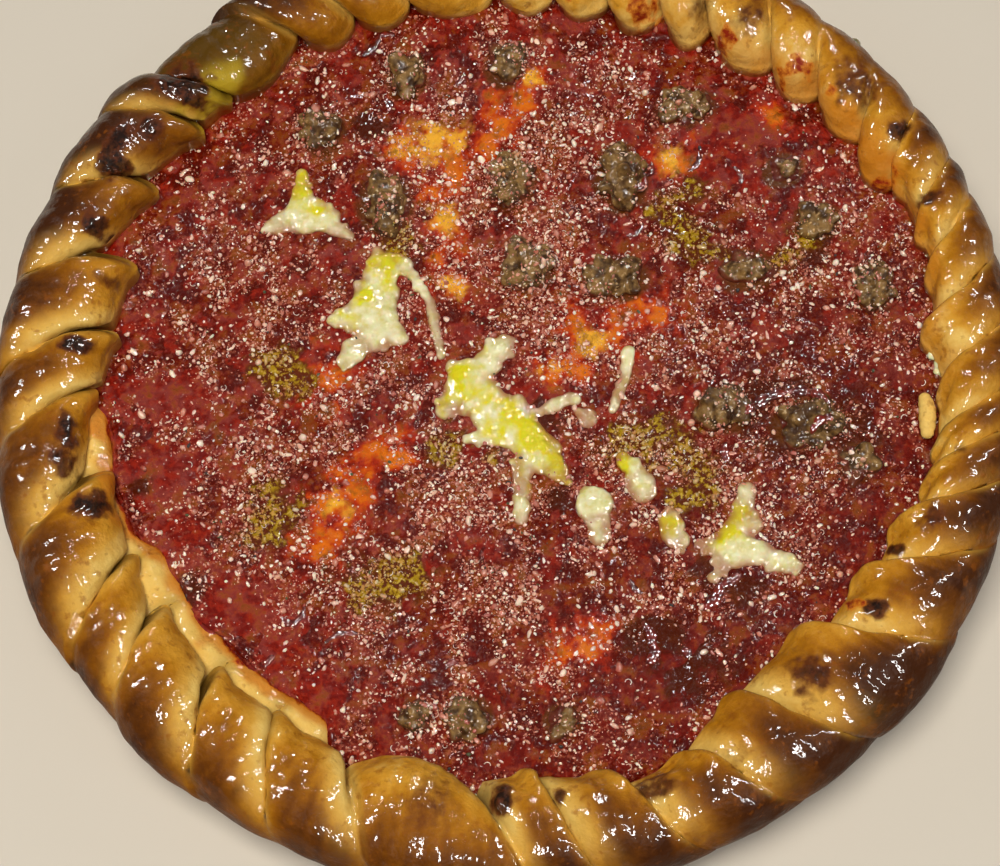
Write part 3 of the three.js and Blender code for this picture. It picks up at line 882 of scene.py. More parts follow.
# warm browns that change with the baking, under a sharp thin gloss that bends over each wrinkle
dough = make_material(
    "baked_wheat_dough",
    marks=("baked", "pale", "ridge_highlight", "olive", "buttery", "gap", "oiled", "charred", "smeared", "glazed"),
    noises=dict(
        freckle=dict(size=4, detail=5, rough=0.68), tiny=dict(size=2.4, detail=3),
        where=dict(size=11, detail=1), speck=dict(size=3, detail=3, rough=0.55),
        crackle=dict(size=2, detail=2, rough=0.6), splash=dict(size=2.4, detail=3, rough=0.6),
        pores=dict(size=0.8, detail=3, rough=0.6), skin=dict(size=1.9, detail=2),
        glaze=dict(size=5, detail=1), crinkle=dict(size=1.7, detail=1),
    ),
    sums=dict(
        centred=("freckle", 1, -0.5), depth=("centred", 0.42, "baked"), dotted=("where", 0.5, "tiny"),
        singed=("speck", 0.8, "charred"), splashed=("splash", 1.3, "smeared"),
    ),
    colours=(
        BAKING[0][1],
        *(
            dict(by="depth", low=low, high=high, colour=colour)
            for (low, _), (high, colour) in zip(BAKING, BAKING[1:])
        ),
        dict(by="pale", most=0.6, colour="#EACC74"),
        # painted highlight along the crisp edges
        dict(by="ridge_highlight", most=0.75, colour="#ECBC50"),
        dict(by="olive", most=0.85, colour="#5C430C"),
        dict(by="buttery", most=0.9, colour="#BCA42A"),
        # painted shade in the crevices
        dict(by="gap", most=0.9, colour="#3E2404"),
        dict(by="oiled", most=0.8, colour="#CC7C1C"),
        dict(by="dotted", low=0.86, high=1.0, most=0.55, colour="#8E4E10"),
        dict(by="singed", low=0.58, high=1.05, most=0.9, colour="#643010"),
        dict(by="singed", low=0.95, high=1.35, most=0.95, colour=CHARCOAL),
        dict(by="splashed", low=0.95, high=1.35, most=0.8, colour="#D0761A"),
        dict(by="splashed", low=1.3, high=1.6, most=0.95, colour="#8A1A08"),
    ),
    bumps=(
        dict(on="Normal", height="pores", strength=0.25, depth=0.3),
        dict(on="Normal", height="skin", strength=0.5, depth=0.8),
        dict(on="Coat Normal", height="glaze", strength=0.4, depth=1.5),
        dict(on="Coat Normal", height="crinkle", strength=0.3, depth=0.6),
    ),
    roughness=("skin", 0.3, 0.55), ior=1.45, specular_ior_level=0.06,
    coat_weight=("glazed", 0, 0.9), coat_roughness=0.06, coat_ior=1.3,
)
finish_piece(crust, "crust", dough, "crust")

# %% [markdown]
# ## What lies where in the sauce
#
# The sauce isn't one even red. Over melted cheese it is lifted and orange, oil
# has gathered in olive and amber pools, and along the left edge the purée lies
# smooth and bare. Each kind of place is a short list of soft round spots, read
# from the middle of the pizza, that a noise makes ragged.

# %% What lies where in the sauce


def spots(points, places, size, seed, soft):
    """How deep each point lies inside the nearest of some ragged round spots, 0 to 1."""
    flat_points = np.column_stack([points[:, 0], points[:, 1], 0 * points[:, 0]])
    ragged = 0.4 * swell(flat_points, size, seed) + 0.28 * swell(flat_points, size / 2.6, seed + 1)
    ragged += 0.14 * swell(flat_points, size / 6, seed + 2)
    deepest = np.zeros(len(points))
    for x, y, reach in places:
        inside = 1 - np.hypot(points[:, 0] - x, points[:, 1] - y) / reach / soft**0.7
        deepest = np.maximum(deepest, ease(inside + ragged, -0.15, soft))
    return deepest


ZONES = {  # the ragged edge's swells, seed and softness, then each spot's x, y and reach in mm
    "cheese_beneath": dict(size=5, seed=41, soft=1.6, places=[
        (-12, 82, 9), (-20, 79, 8), (-5, 83, 7), (4, 80, 8), (9, 87, 8), (16, 92, 6), (-7, 70, 7),
        (-15, 66, 6), (-13, 55, 7), (-11, 42, 6), (-12, 33, 7), (50, 17, 7), (28, 10, 10), (36, 12, 9),
        (22, 4, 8), (15, 3, 6), (-54, -34, 9), (-59, -42, 8), (-49, -27, 8), (-38, -18, 8),
        (-44, -22, 7), (-55, 8, 8), (12, -82, 8), (8, -86, 7), (61, 65, 8), (94, 74, 5), (21, 98, 5),
    ]),
    "bright_cheese": dict(size=5, seed=43, soft=1.5, places=[
        (-12, 83, 7), (-19, 80, 5), (-6, 83, 5), (-13, 55, 5), (21, 98, 3.5), (15, 3, 5),
        (-54, -31, 5), (28, 9, 4), (61, 66, 4), (-12, 33, 4),
    ]),
    "olive_oil": dict(size=6, seed=45, soft=1.3, places=[
        (-67, 14, 8), (-61, 9, 6), (-73, -29, 9), (-77, -35, 7), (-42, -58, 10), (-49, -58, 9),
        (-35, -57, 8), (59, 50, 9), (65, 39, 9), (65, 55, 7), (41, -26, 10), (32, -24, 8),
        (52, -29, 8), (51, -44, 8), (55, -39, 7), (-20, -18, 6), (-28, 51, 7), (-6, -24, 5),
        (11, 68, 6), (98, 35, 6), (90, 28, 6),
    ]),
    "clear_oil": dict(size=6, seed=47, soft=1.2, places=[
        (86, -24, 14), (75, -16, 11), (99, -28, 11), (60, -74, 9), (54, -67, 6), (32, -88, 8),
        (42, -98, 8), (51, -93, 8), (12, -39, 6), (36, -85, 8), (9, -13, 6), (-112, -18, 5),
        (-100, -51, 6), (-32, 90, 6), (100, 30, 7),
    ]),
    "bare": dict(size=12, seed=49, soft=0.9, places=[
        (-104, 8, 17), (-104, -14, 17), (-98, -36, 14), (-86, -58, 14), (-74, -74, 13), (84, 74, 13),
        (76, 60, 12), (-62, -88, 12), (38, -93, 12), (108, 55, 8),
    ]),
}
SAUSAGES = [name for name in sorted(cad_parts) if name.startswith("sausage")]
print({name: len(zone["places"]) for name, zone in ZONES.items()}, len(SAUSAGES), "sausages")

# %% [markdown]
# ## The sauce
#
# Crushed tomato is a thick purée with soft lumps in it, a few millimetres
# across, and a skin of fine grains. The disc is a square grid drawn out to the
# sauce's edge, so that it has no crowded middle. Geometry Nodes then push its
# top about with noises whose sizes are inputs, because such a relief follows a
# rule and its sizes are worth trying out.

# %% The sauce's disc
SAUCE_STEPS = 300
SKIRT_HEIGHT = 20.4  # where the disc's sides end, just above the dough
SKIRT_SHARE = 0.93  # how much smaller it is there

steps = np.linspace(-1, 1, SAUCE_STEPS + 1)
square_x, square_y = np.meshgrid(steps, steps)
disc_x = square_x * np.sqrt(1 - square_y**2 / 2)
disc_y = square_y * np.sqrt(1 - square_x**2 / 2)
share_out = np.hypot(disc_x, disc_y)
direction = np.degrees(np.arctan2(disc_y, disc_x)) % 360
reach = (sauce_edge(direction) + sauce_lap(direction)) * share_out
angle = np.radians(direction)
sauce_x = reach * np.cos(angle)
sauce_y = reach * np.sin(angle)
sauce_z = mix(sauce_top(sauce_x, sauce_y), SAUCE_LEVEL + 0.1, ease(share_out, 0.96, 1))
top_points = np.stack([sauce_x, sauce_y, sauce_z], axis=-1).reshape(-1, 3)

number = np.arange(top_points.shape[0]).reshape(SAUCE_STEPS + 1, SAUCE_STEPS + 1)
top_quads = np.stack([number[:-1, :-1], number[:-1, 1:], number[1:, 1:], number[1:, :-1]], axis=-1)
border = np.concatenate([number[0, :-1], number[:-1, -1], number[-1, :0:-1], number[:0:-1, 0]])
below = top_points[border] * SKIRT_SHARE
below[:, 2] = SKIRT_HEIGHT
lower = len(top_points) + np.arange(len(border))
pole = lower[-1] + 1
skirt = np.stack([border, lower, np.roll(lower, -1), np.roll(border, -1)], axis=-1)
base = np.stack([lower, np.full(len(border), pole), np.roll(lower, -1)], axis=-1)
sauce_points = np.concatenate([top_points, below, [(0, 0, SKIRT_HEIGHT)]])
sauce_faces = [*top_quads.reshape(-1, 4).tolist(), *skirt.tolist(), *base.tolist()]
print("sauce disc:", len(sauce_faces), "faces")

# %% What is painted on the sauce
sauce_base = mesh_from("sauce", sauce_points, sauce_faces)
on_top = np.zeros(len(sauce_points))
on_top[: len(top_points)] = (1 - ease(share_out, 0.985, 1)).ravel()
zones = {"on_top": on_top, **{name: spots(sauce_points, **zone) for name, zone in ZONES.items()}}
flat_places = np.column_stack([sauce_points[:, :2], 0 * sauce_points[:, 0]])
wander = 0.45 * swell(flat_places, 18, 80) + 0.65 * swell(flat_places, 6, 81)
clean = (1 - 0.85 * zones["bare"]) * (1 - 0.9 * zones["clear_oil"]) * (1 - 0.65 * zones["cheese_beneath"])
middle = 1.08 - 0.4 * ease(np.hypot(sauce_points[:, 0], sauce_points[:, 1]), 70, 112)
zones["drift"] = mix(0.16, 1, ease(wander, -0.5, 0.65)) * clean * np.clip(middle, 0, 1)
# painted shade: the sauce is painted darker towards the lower right
zones["deep"] = ease(0.55 * sauce_points[:, 0] - 0.83 * sauce_points[:, 1] + 14 * wander, 5, 95)
zones["fatty"] = np.zeros(len(sauce_points))
for node in SAUSAGES:
    low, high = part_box(node)
    centre = (low + high) / 2 / MM
    half = (high - low) / 2 / MM
    away = np.hypot((sauce_points[:, 0] - centre.x) / half.x, (sauce_points[:, 1] - centre.y) / half.y)
    zones["fatty"] = np.maximum(zones["fatty"], 1 - ease(away + 0.2 * wander, 0.85, 1.45))
for name, values in zones.items():
    paint(sauce_base, name, values)
print("mean marks:", {name: round(float(values.mean()), 2) for name, values in zones.items()})

# %% Trees that shape a mesh


def new_shape_tree(name, **sizes):
    """A Geometry Nodes tree with named inputs. Whole numbers make whole-number inputs."""
    tree = bpy.data.node_groups.new(name, "GeometryNodeTree")
    tree.interface.new_socket("Geometry", in_out="INPUT", socket_type="NodeSocketGeometry")
    tree.interface.new_socket("Geometry", in_out="OUTPUT", socket_type="NodeSocketGeometry")
    for title, value in sizes.items():
        kind = "NodeSocketInt" if isinstance(value, int) else "NodeSocketFloat"
        socket = tree.interface.new_socket(title.replace("_", " "), in_out="INPUT", socket_type=kind)
        socket.default_value = value
    return tree, tree.nodes.new("NodeGroupInput").outputs


def give_out(tree, shape, **kept):
    """Ends a tree: keeps values on the points by name, and shades the shape smooth."""
    for name, value in kept.items():
        shape = add(tree, "GeometryNodeStoreNamedAttribute", {
            "Geometry": shape, "Name": name, "Value": value,
        }, data_type="FLOAT", domain="POINT")
    smooth = add(tree, "GeometryNodeSetShadeSmooth", {"Geometry": shape})
    add(tree, "NodeGroupOutput", {"Geometry": smooth})


def keep_shape(piece):
    """Swaps a piece's mesh for what its modifiers make of it, and drops the modifiers."""
    shape = piece.evaluated_get(bpy.context.evaluated_depsgraph_get())
    result = bpy.data.meshes.new_from_object(shape)
    piece.modifiers.clear()
    piece.data = result


def grow(name, tree, mesh, **values):
    """Runs a tree on a mesh and gives the result as a plain piece without modifiers."""
    piece = place_in_scene(name, mesh)
    modifier = piece.modifiers.new(name, "NODES")
    modifier.node_group = tree
    for item in tree.interface.items_tree:
        key = item.name.replace(" ", "_")
        if item.in_out == "INPUT" and key in values:
            modifier[item.identifier] = values[key]
    keep_shape(piece)
    piece.data.name = name
    return piece


# %% The sauce's relief
PUREE_RAISED = 0.2  # bare purée counts as higher on the broad noise, and oil as lower
OIL_LOWERED = -0.25
SHORE = {"From Min": 0.44, "From Max": 0.58}  # between these an island rises out of the juice
CHEESE_LIFT = 0.8
CALMED = -0.6  # how much of the lumps and the grain bare and oily places lose
LUMP_PROFILE = {1: -1.6, 2: 0.7}  # times the distance from a lump's middle, and then plus
GRAIN_PROFILE = {1: 2.6, 2: -1.3}  # times the noise, and then plus


def sauce_relief():
    """Thick islands of purée, the juice between them, lumps on them and a fine grain over all."""
    tree, given = new_shape_tree(
        "sauce_relief",
        Island_size=10.0, Island_height=0.8, Lump_size=3.2, Lump_height=0.45,
        Grain_size=1.5, Grain_height=0.12, Seed=7,
    )
    place = add(tree, "GeometryNodeInputPosition")
    reading = {
        name: add(tree, "GeometryNodeInputNamedAttribute", {"Name": name}, data_type="FLOAT")
        for name in ("on_top", "bare", "clear_oil", "cheese_beneath")
    }
    scale = {
        title: add(tree, "ShaderNodeMath", {0: 1 / MM, 1: given[title]}, operation="DIVIDE")
        for title in ("Island size", "Lump size", "Grain size")
    }
    broad = add(tree, "ShaderNodeTexNoise", {
        "Vector": place, "W": given["Seed"], "Scale": scale["Island size"], "Detail": 4,
        "Roughness": 0.6, "Distortion": 0.5,
    }, noise_dimensions="4D")
    thick = broad
    for zone, change in (("bare", PUREE_RAISED), ("clear_oil", OIL_LOWERED)):
        thick = add(tree, "ShaderNodeMath", {0: reading[zone], 1: change, 2: thick}, operation="MULTIPLY_ADD")
    island = add(tree, "ShaderNodeMapRange", {"Value": thick, **SHORE}, interpolation_type="SMOOTHSTEP")
    pebble = add(tree, "ShaderNodeTexVoronoi", {
        "Vector": place, "W": given["Seed"], "Scale": scale["Lump size"], "Smoothness": 0.35,
    }, voronoi_dimensions="4D", feature="SMOOTH_F1")
    lump = add(tree, "ShaderNodeMath", {0: pebble.outputs["Distance"], **LUMP_PROFILE},
               operation="MULTIPLY_ADD")
    fine = add(tree, "ShaderNodeTexNoise", {
        "Vector": place, "W": given["Seed"], "Scale": scale["Grain size"], "Detail": 2,
    }, noise_dimensions="4D")
    grain = add(tree, "ShaderNodeMath", {0: fine, **GRAIN_PROFILE}, operation="MULTIPLY_ADD")
    smooth_places = add(tree, "ShaderNodeMath", {
        0: reading["bare"], 1: reading["clear_oil"],
    }, operation="MAXIMUM")
    calm = add(tree, "ShaderNodeMath", {0: smooth_places, 1: CALMED, 2: 1.0}, operation="MULTIPLY_ADD")
    total = add(tree, "ShaderNodeMath", {0: reading["cheese_beneath"], 1: CHEESE_LIFT}, operation="MULTIPLY")
    for relief, height, part in (
        (island, "Island height", None), (lump, "Lump height", calm), (grain, "Grain height", calm),
    ):
        if part:
            relief = add(tree, "ShaderNodeMath", {0: relief, 1: part}, operation="MULTIPLY")
        total = add(tree, "ShaderNodeMath", {
            0: relief, 1: given[height], 2: total,
        }, operation="MULTIPLY_ADD")
    level = add(tree, "ShaderNodeMath", {0: given["Island height"], 1: -0.5, 2: total},
                operation="MULTIPLY_ADD")
    kept = add(tree, "ShaderNodeMath", {0: level, 1: reading["on_top"]}, operation="MULTIPLY")
    rise = add(tree, "ShaderNodeMath", {0: kept, 1: MM}, operation="MULTIPLY")
    offset = add(tree, "ShaderNodeCombineXYZ", {"Z": rise})
    shape = add(tree, "GeometryNodeSetPosition", {"Geometry": given["Geometry"], "Offset": offset})
    give_out(tree, shape, relief=kept, island=island)
    return tree


sauce = grow("sauce_puree", sauce_relief(), sauce_base, Seed=7)
sauce_shape = points_of(sauce.data)
lowest, highest = (round(float(level), 1) for level in (sauce_shape[:, 2].min(), sauce_shape[:, 2].max()))
print("sauce relief:", lowest, "to", highest)

# %% [markdown]
# ## Juice and oil
#
# Juice and oil stand between the islands of purée, level and smooth, so their
# shore is wherever the purée rises through them. The film is made that way: a
# second disc, just inside the first, whose top is a nearly level sheet with low
# ripples. Where it is shallow it climbs a little, as juice does along a shore.
# It keeps the same marks as the purée, and one more for its depth.

# %% Juice and oil
JUICE_LEVEL = -0.12  # from the purée's mean level
POOL_RISE = 0.75
RIPPLE_SIZE = 4.5
RIPPLE_HEIGHT = 0.05
MENISCUS = 0.45  # how far the film climbs along its shore
MENISCUS_DEPTH = 0.3
FILM_SHARE = 0.99  # the film's size, as a part of the sauce's

film_points = sauce_points.copy()
film_points[:, :2] *= FILM_SHARE
pooled = ease(np.maximum(zones["clear_oil"], 0.5 * zones["olive_oil"]), 0, 0.8)
low_waves = swell(sauce_points, RIPPLE_SIZE, 91) + 0.5 * swell(sauce_points, RIPPLE_SIZE / 2, 92)
film_rise = JUICE_LEVEL + POOL_RISE * pooled + RIPPLE_HEIGHT * low_waves
film_points[:, 2] += np.where(on_top > 0, mix(-0.3, film_rise, on_top), 0.3)
depth = film_points[:, 2] - sauce_shape[:, 2]
film_points[:, 2] += MENISCUS * np.exp(-((depth / MENISCUS_DEPTH) ** 2)) * on_top
juice = place_in_scene("juice_and_oil", mesh_from("juice_and_oil", film_points, sauce_faces))
deep_enough = ease(film_points[:, 2] - sauce_shape[:, 2], 0, 0.6)
for name, values in zones.items():
    paint(juice.data, name, values)
paint(juice.data, "wet", np.ones(len(film_points)))
paint(juice.data, "relief", -1.2 * deep_enough)
paint(juice.data, "island", numbers_of(sauce.data, "island") * (1 - deep_enough))
print("juice shows on", round(100 * float((deep_enough[: len(top_points)] > 0).mean())), "% of the sauce")

# %% [markdown]
# ## Crushed tomato
#
# Cooked purée is a wet red that light goes into. Its thick islands are matt and
# a little mauve, with painted shade in the gaps between their grains where crumbs
# drift, and the juice round them is a clear deep red. Over melted cheese it glows
# orange, and where oil stands among crumbs it is brown with yellow flecks. A coat stands for juice and oil:
# its own
# soft waves, about 2 mm long, break each lamp into short crooked lines.

# %% Crushed tomato
# the zones whose edges these noises make ragged
UNEVEN = ("cheese_beneath", "bright_cheese", "clear_oil", "olive_oil", "fatty")
UNEVEN_SUMS = {}
for zone in UNEVEN:
    UNEVEN_SUMS["clouded_" + zone] = ("cloud", 1, zone)
    UNEVEN_SUMS["uneven_" + zone] = ("pulp", 0.5, "clouded_" + zone)
THICK_PUREE = ("#6E0E04", dict(by="pulp", low=0.4, high=0.62, colour="#90200E"))

# a deep wet red: dull and a little mauve where it is thick, dark and glassy where juice stands
tomato = make_material(
    "crushed_tomato_puree",
    curve="SMOOTHSTEP",
    marks=("relief", "island", "wet", "drift", "deep", *UNEVEN),
    noises=dict(
        broad=dict(size=14, detail=3, rough=0.6), cloud=dict(size=7, detail=5, rough=0.6),
        pulp=dict(size=2.4, detail=3, rough=0.6), grains=dict(size=1.3, detail=2, rough=0.6),
        dust=dict(size=0.6, detail=2, rough=0.6), waves=dict(size=2.4, detail=1, rough=0.3, bent=0.8),
    ),
    sums=dict(
        thickness=("pulp", 0.9, "island"), dull=("broad", 0.8, "cloud"), browned=("cloud", 0.8, "drift"),
        drifting=("drift", 0.1, 0), toasted=("cloud", 0.7, "drifting"), golden=("pulp", 0.8, "toasted"),
        flecked=("grains", 0.6, "pulp"), seeded=("dust", 0.3, "grains"), rippled=("wet", -0.25, 0.48),
        **UNEVEN_SUMS,
    ),
    shares=dict(
        thick=("thickness", 0.5, 1.2, 1.0), drifted=("drift", 0.3, 0.8, 0.4),
        in_oil=("olive_oil", 0.15, 0.65, 1.0),
    ),
    colours=(
        "#5A0C02",
        dict(by="cloud", low=0.4, high=0.62, colour="#7E1602"),
        dict(by="thickness", low=0.5, high=1.2, colour=THICK_PUREE),
        dict(by="dull", low=0.8, high=1.0, most=0.7, within="thick", colour="#8C3C38"),
        dict(by="relief", low=-0.4, high=-1.4, most=0.6, colour="#460A02"),
        # painted shade towards the lower right
        dict(by="deep", most=0.45, colour="#4C0C04"),
        dict(by="browned", low=0.7, high=1.4, most=0.5, colour="#661A0C"),
        dict(by="golden", low=0.84, high=0.96, within="drifted", colour="#86560E"),
        dict(by="uneven_cheese_beneath", low=0.7, high=1.2, most=0.95, colour="#BC2E08"),
        dict(by="uneven_cheese_beneath", low=0.95, high=1.55, most=0.95, colour="#E2760C"),
        dict(by="uneven_bright_cheese", low=0.75, high=1.4, most=0.95, colour="#F6B838"),
        dict(by="uneven_clear_oil", low=0.75, high=1.3, most=0.95, colour="#4A1602"),
        dict(by="uneven_olive_oil", low=0.75, high=1.1, most=0.95, colour="#5A2404"),
        dict(by="uneven_fatty", low=0.95, high=1.8, most=0.95, colour="#5C3210"),
        dict(by="flecked", low=0.75, high=0.9, most=0.8, within="in_oil", colour="#B09210"),
        dict(by="grains", low=0.57, high=0.66, most=0.9, within="in_oil", colour="#C8B440"),
        # painted shade in the gaps between the grains, where crumbs drift
        dict(by="grains", low=0.48, high=0.36, most=0.6, within="drift", colour="#4C0C02"),
        dict(by="seeded", low=0.68, high=0.78, most=0.7, within="drift", colour="#BA6A54"),
    ),
    bumps=(
        dict(on="Normal", height="pulp", strength=0.7, depth=1.2),
        dict(on="Normal", height="grains", strength=0.6, depth=0.8),
        dict(on="Coat Normal", height="waves", strength="rippled", depth=0.9),
    ),
    roughness=("thick", 0.25, 0.6), ior=1.4, specular_ior_level=0.05,
    coat_weight=("thick", 1.0, 0.2), coat_roughness=0.05, coat_ior=1.22,
)
finish_piece(sauce, "sauce", tomato, "sauce")
finish_piece(juice, "sauce", tomato)

# %% [markdown]
# ## Sausage
#
# Raw sausage is pinched into lumps, and in the oven each becomes a knobbly
# crumb, grey-brown. A painted highlight lightens its knobs, and painted shade
# makes its crannies nearly black. Each lump starts as a fine ball as large as
# its solid in the fixed model, and Geometry Nodes give it knobs of about 5 mm
# and a crumb of about 2 mm, with the lump's own seed.

# %% Sausage
LUMP_ACROSS = 0.97  # the ball's size, as a part of the fixed lump's, before its knobs are added
LUMP_UP = 0.95
PEBBLE_TOP = 0.85  # how high a knob's middle stands, as a part of its height
SEED_STEP = 31.7  # how far on in the pattern each lump takes its knobs


def sausage_shape():
    tree, given = new_shape_tree(
        "sausage_lump", Half_width=8.0, Half_depth=8.0, Half_height=6.0,
        Swell_size=8.0, Swell_height=1.1, Knob_size=5.2, Knob_height=2.6,
        Crumb_size=2.0, Crumb_height=0.4, Seed=1,
    )
    ball = add(tree, "GeometryNodeMeshIcoSphere", {"Radius": 1.0, "Subdivisions": 6})
    place = add(tree, "GeometryNodeInputPosition")
    halves = add(tree, "ShaderNodeCombineXYZ", {
        "X": given["Half width"], "Y": given["Half depth"], "Z": given["Half height"],
    })
    sized = add(tree, "ShaderNodeVectorMath", {0: place, 1: halves}, operation="MULTIPLY")
    moved_on = add(tree, "ShaderNodeMath", {0: given["Seed"], 1: SEED_STEP}, operation="MULTIPLY")
    elsewhere = add(tree, "ShaderNodeVectorMath", {0: sized, 1: moved_on})
    total = None
    for size, height in (("Knob size", "Knob height"), ("Crumb size", "Crumb height")):
        scale = add(tree, "ShaderNodeMath", {0: 1.0, 1: given[size]}, operation="DIVIDE")
        pebble = add(tree, "ShaderNodeTexVoronoi", {
            "Vector": elsewhere, "Scale": scale, "Smoothness": 0.2,
        }, feature="SMOOTH_F1")
        raised = add(tree, "ShaderNodeMath", {
            0: pebble.outputs["Distance"], 1: -2 * PEBBLE_TOP, 2: PEBBLE_TOP,
        }, operation="MULTIPLY_ADD")
        tall = add(tree, "ShaderNodeMath", {0: raised, 1: given[height]}, operation="MULTIPLY")
        total = tall if total is None else add(tree, "ShaderNodeMath", {0: total, 1: tall})
    push = add(tree, "ShaderNodeVectorMath", {0: place, "Scale": total}, operation="SCALE")
    slow = add(tree, "ShaderNodeMath", {0: 1.0, 1: given["Swell size"]}, operation="DIVIDE")
    swelling = add(tree, "ShaderNodeTexNoise", {
        "Vector": sized, "W": given["Seed"], "Scale": slow, "Detail": 1,
    }, noise_dimensions="4D")
    centred = add(tree, "ShaderNodeMath", {0: swelling, 1: 0.5}, operation="SUBTRACT")
    wider = add(tree, "ShaderNodeMath", {0: centred, 1: given["Swell height"], 2: 1.0},
                operation="MULTIPLY_ADD")
    swollen = add(tree, "ShaderNodeVectorMath", {0: sized, "Scale": wider}, operation="SCALE")
    lumpy = add(tree, "ShaderNodeVectorMath", {0: swollen, 1: push})
    metres = add(tree, "ShaderNodeVectorMath", {0: lumpy, "Scale": MM}, operation="SCALE")
    shape = add(tree, "GeometryNodeSetPosition", {"Geometry": ball.outputs["Mesh"], "Position": metres})
    give_out(tree, shape, relief=total)
    return tree


sausage_tree = sausage_shape()
print("a lump is shaped by", len(sausage_tree.nodes), "nodes")

# %% Cooked meat
# dull grey-brown meat, with a painted highlight on its knobs, painted shade nearly black in its crannies, and
# fat shining on it
sausage_meat = make_material(
    "cooked_sausage_meat",
    marks=("relief", "low"),
    noises=dict(
        cloud=dict(size=3, detail=5), patch=dict(size=7, detail=3), fat=dict(size=1.5, detail=2),
        grit=dict(size=0.7, detail=3), melted=dict(size=1.8, detail=1),
    ),
    sums=dict(wetted=("cloud", 1.2, "low")),
    colours=(
        "#402809",
        dict(by="cloud", low=0.38, high=0.58, colour="#8C6C3C"),
        # painted highlight: paler on the tops of the knobs
        dict(by="relief", low=0.1, high=0.9, most=0.7, colour="#BCA070"),
        dict(by="patch", low=0.5, high=0.66, most=0.75, colour="#381A06"),
        # painted shade: nearly black in the crannies
        dict(by="relief", low=-0.1, high=-0.7, colour="#240E04"),
        dict(by="fat", low=0.62, high=0.72, colour="#B89C70"),
        dict(by="wetted", low=0.85, high=1.3, most=0.85, colour="#5E1206"),
    ),
    bumps=(
        dict(on="Normal", height="grit", strength=0.6, depth=0.5),
        dict(on="Coat Normal", height="melted", strength=0.5, depth=0.8),
    ),
    roughness=("cloud", 0.35, 0.65), ior=1.45, specular_ior_level=0.1,
    coat_weight=0.8, coat_roughness=0.06, coat_ior=1.3,
)

# %% The lumps
lumps = []
for order_of_lump, node in enumerate(SAUSAGES):
    low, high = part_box(node)
    half = (high - low) / 2 / MM
    lump = grow(
        node + "_lump", sausage_tree, bpy.data.meshes.new(node),
        Half_width=half.x * LUMP_ACROSS, Half_depth=half.y * LUMP_ACROSS, Half_height=half.z * LUMP_UP,
        Seed=order_of_lump + 1,
    )
    lump.data.transform(Matrix.Translation((low + high) / 2))
    shape = points_of(lump.data)
    above_sauce = shape[:, 2] - sauce_top(shape[:, 0], shape[:, 1])
    paint(lump.data, "low", 1 - ease(above_sauce, 0.6, 3))
    # the relief, centred, places the painted highlight on the knobs and the painted shade in the crannies
    relief = numbers_of(lump.data, "relief")
    lump.data.attributes["relief"].data.foreach_set("value", relief - np.median(relief))
    finish_piece(lump, "sausage", sausage_meat, node)
    lumps.append(lump)

# %% [markdown]
# ## Melted mozzarella
#
# Mozzarella that lay near the top has melted into soft patches and pulled
# strands, thick in the middle and round at their edges. Each is a chain of
# flattened balls that grow thinner towards a strand's end, joined into one skin
# by a voxel remesh, as soft things run together in the same way.

# %% Melted mozzarella
MELTS = {  # each strand: x, y and radius where it starts, and where it ends
    "cheese_melt_01": [
        (-55, 64, 5.2, -65, 60, 2.9), (-55, 64, 4.6, -54, 76, 2.2), (-54, 63, 5, -41, 54, 1.7),
        (-50, 62, 4.6, -46, 60, 3.4), (-58, 61.5, 4, -52, 59.5, 4),
    ],
    "cheese_melt_02": [
        (-31, 43, 4.6, -36, 30, 6.6), (-35, 45, 2.6, -38.5, 32, 4.4), (-27, 43.5, 2.6, -31, 44, 3.8),
        (-37, 28, 6.2, -50, 26.5, 2.1), (-36, 23, 6.2, -47.5, 12.5, 3), (-35, 24, 5.6, -30, 19, 3.6),
        (-26, 43, 2.4, -19, 29, 1.9), (-19, 29, 1.9, -18, 11, 1.5),
    ],
    "cheese_melt_03": [
        (-12, 3, 6.6, -6, -5, 6.4), (-12, 2, 5, -19.5, -6.5, 3), (-5, 4, 4.6, 2, 12, 3.6),
        (-8, -2, 6, 0, -9, 6), (-6, -5, 6.2, 2, -14, 6.8), (2, -14, 6.8, 9, -25, 5.4),
        (9, -25, 4.6, 15, -34, 1.5), (0, -16, 5, -13, -16, 1.9), (5, -18, 5.4, 11, -21, 3.2),
        (2, -26, 3.6, -0.4, -43, 2.6),
    ],
    "cheese_melt_04": [(8, -10.8, 2.2, 20.2, -8, 2.4)],
    "cheese_melt_05": [(23, -14.6, 3.3, 24, -15, 3)],
    "cheese_melt_06": [(38, 4, 2.3, 36, -4, 2), (36, -4, 2, 31, -13.5, 1.8)],
    "cheese_melt_07": [(21.4, -42.5, 5.6, 22.4, -50.5, 3.8)],
    "cheese_melt_08": [(37, -37.4, 5.2, 36, -41, 4.2), (35.5, -34, 3, 32, -29, 2.6)],
    "cheese_melt_09": [(43, -50, 3.8, 44, -55.5, 3.6)],
    "cheese_melt_10": [
        (61, -58, 6, 67, -43.5, 2.8), (60, -59, 5.6, 77.2, -68.4, 3), (59, -59, 4.6, 50, -57.4, 1.9),
        (60, -60, 4.6, 53, -68.4, 2.2), (62, -56, 4.4, 68, -54, 2.6),
    ],
}
YELLOW_PLACES = [  # x, y and reach of each spot
    (-12, 2, 10), (-9, -2, 8), (2, -12, 10), (6, -20, 11), (11, -28, 9), (15, -33, 6), (-34, 43, 9),
    (-38, 32, 6), (-45, 27, 5), (-54, 74, 9), (-50, 63, 6), (32, -29, 8), (42, -52, 6), (59, -56, 6),
    (63, -50, 5),
]
BALL_SPACING = 0.4  # of its radius
BALL_UNEVEN = (0.82, 1.06)
BALL_WANDER = 0.12
MELT_THICKNESS = 0.34
MELT_LEAST_THICKNESS = 1.15
MELT_LIFT = 0.35
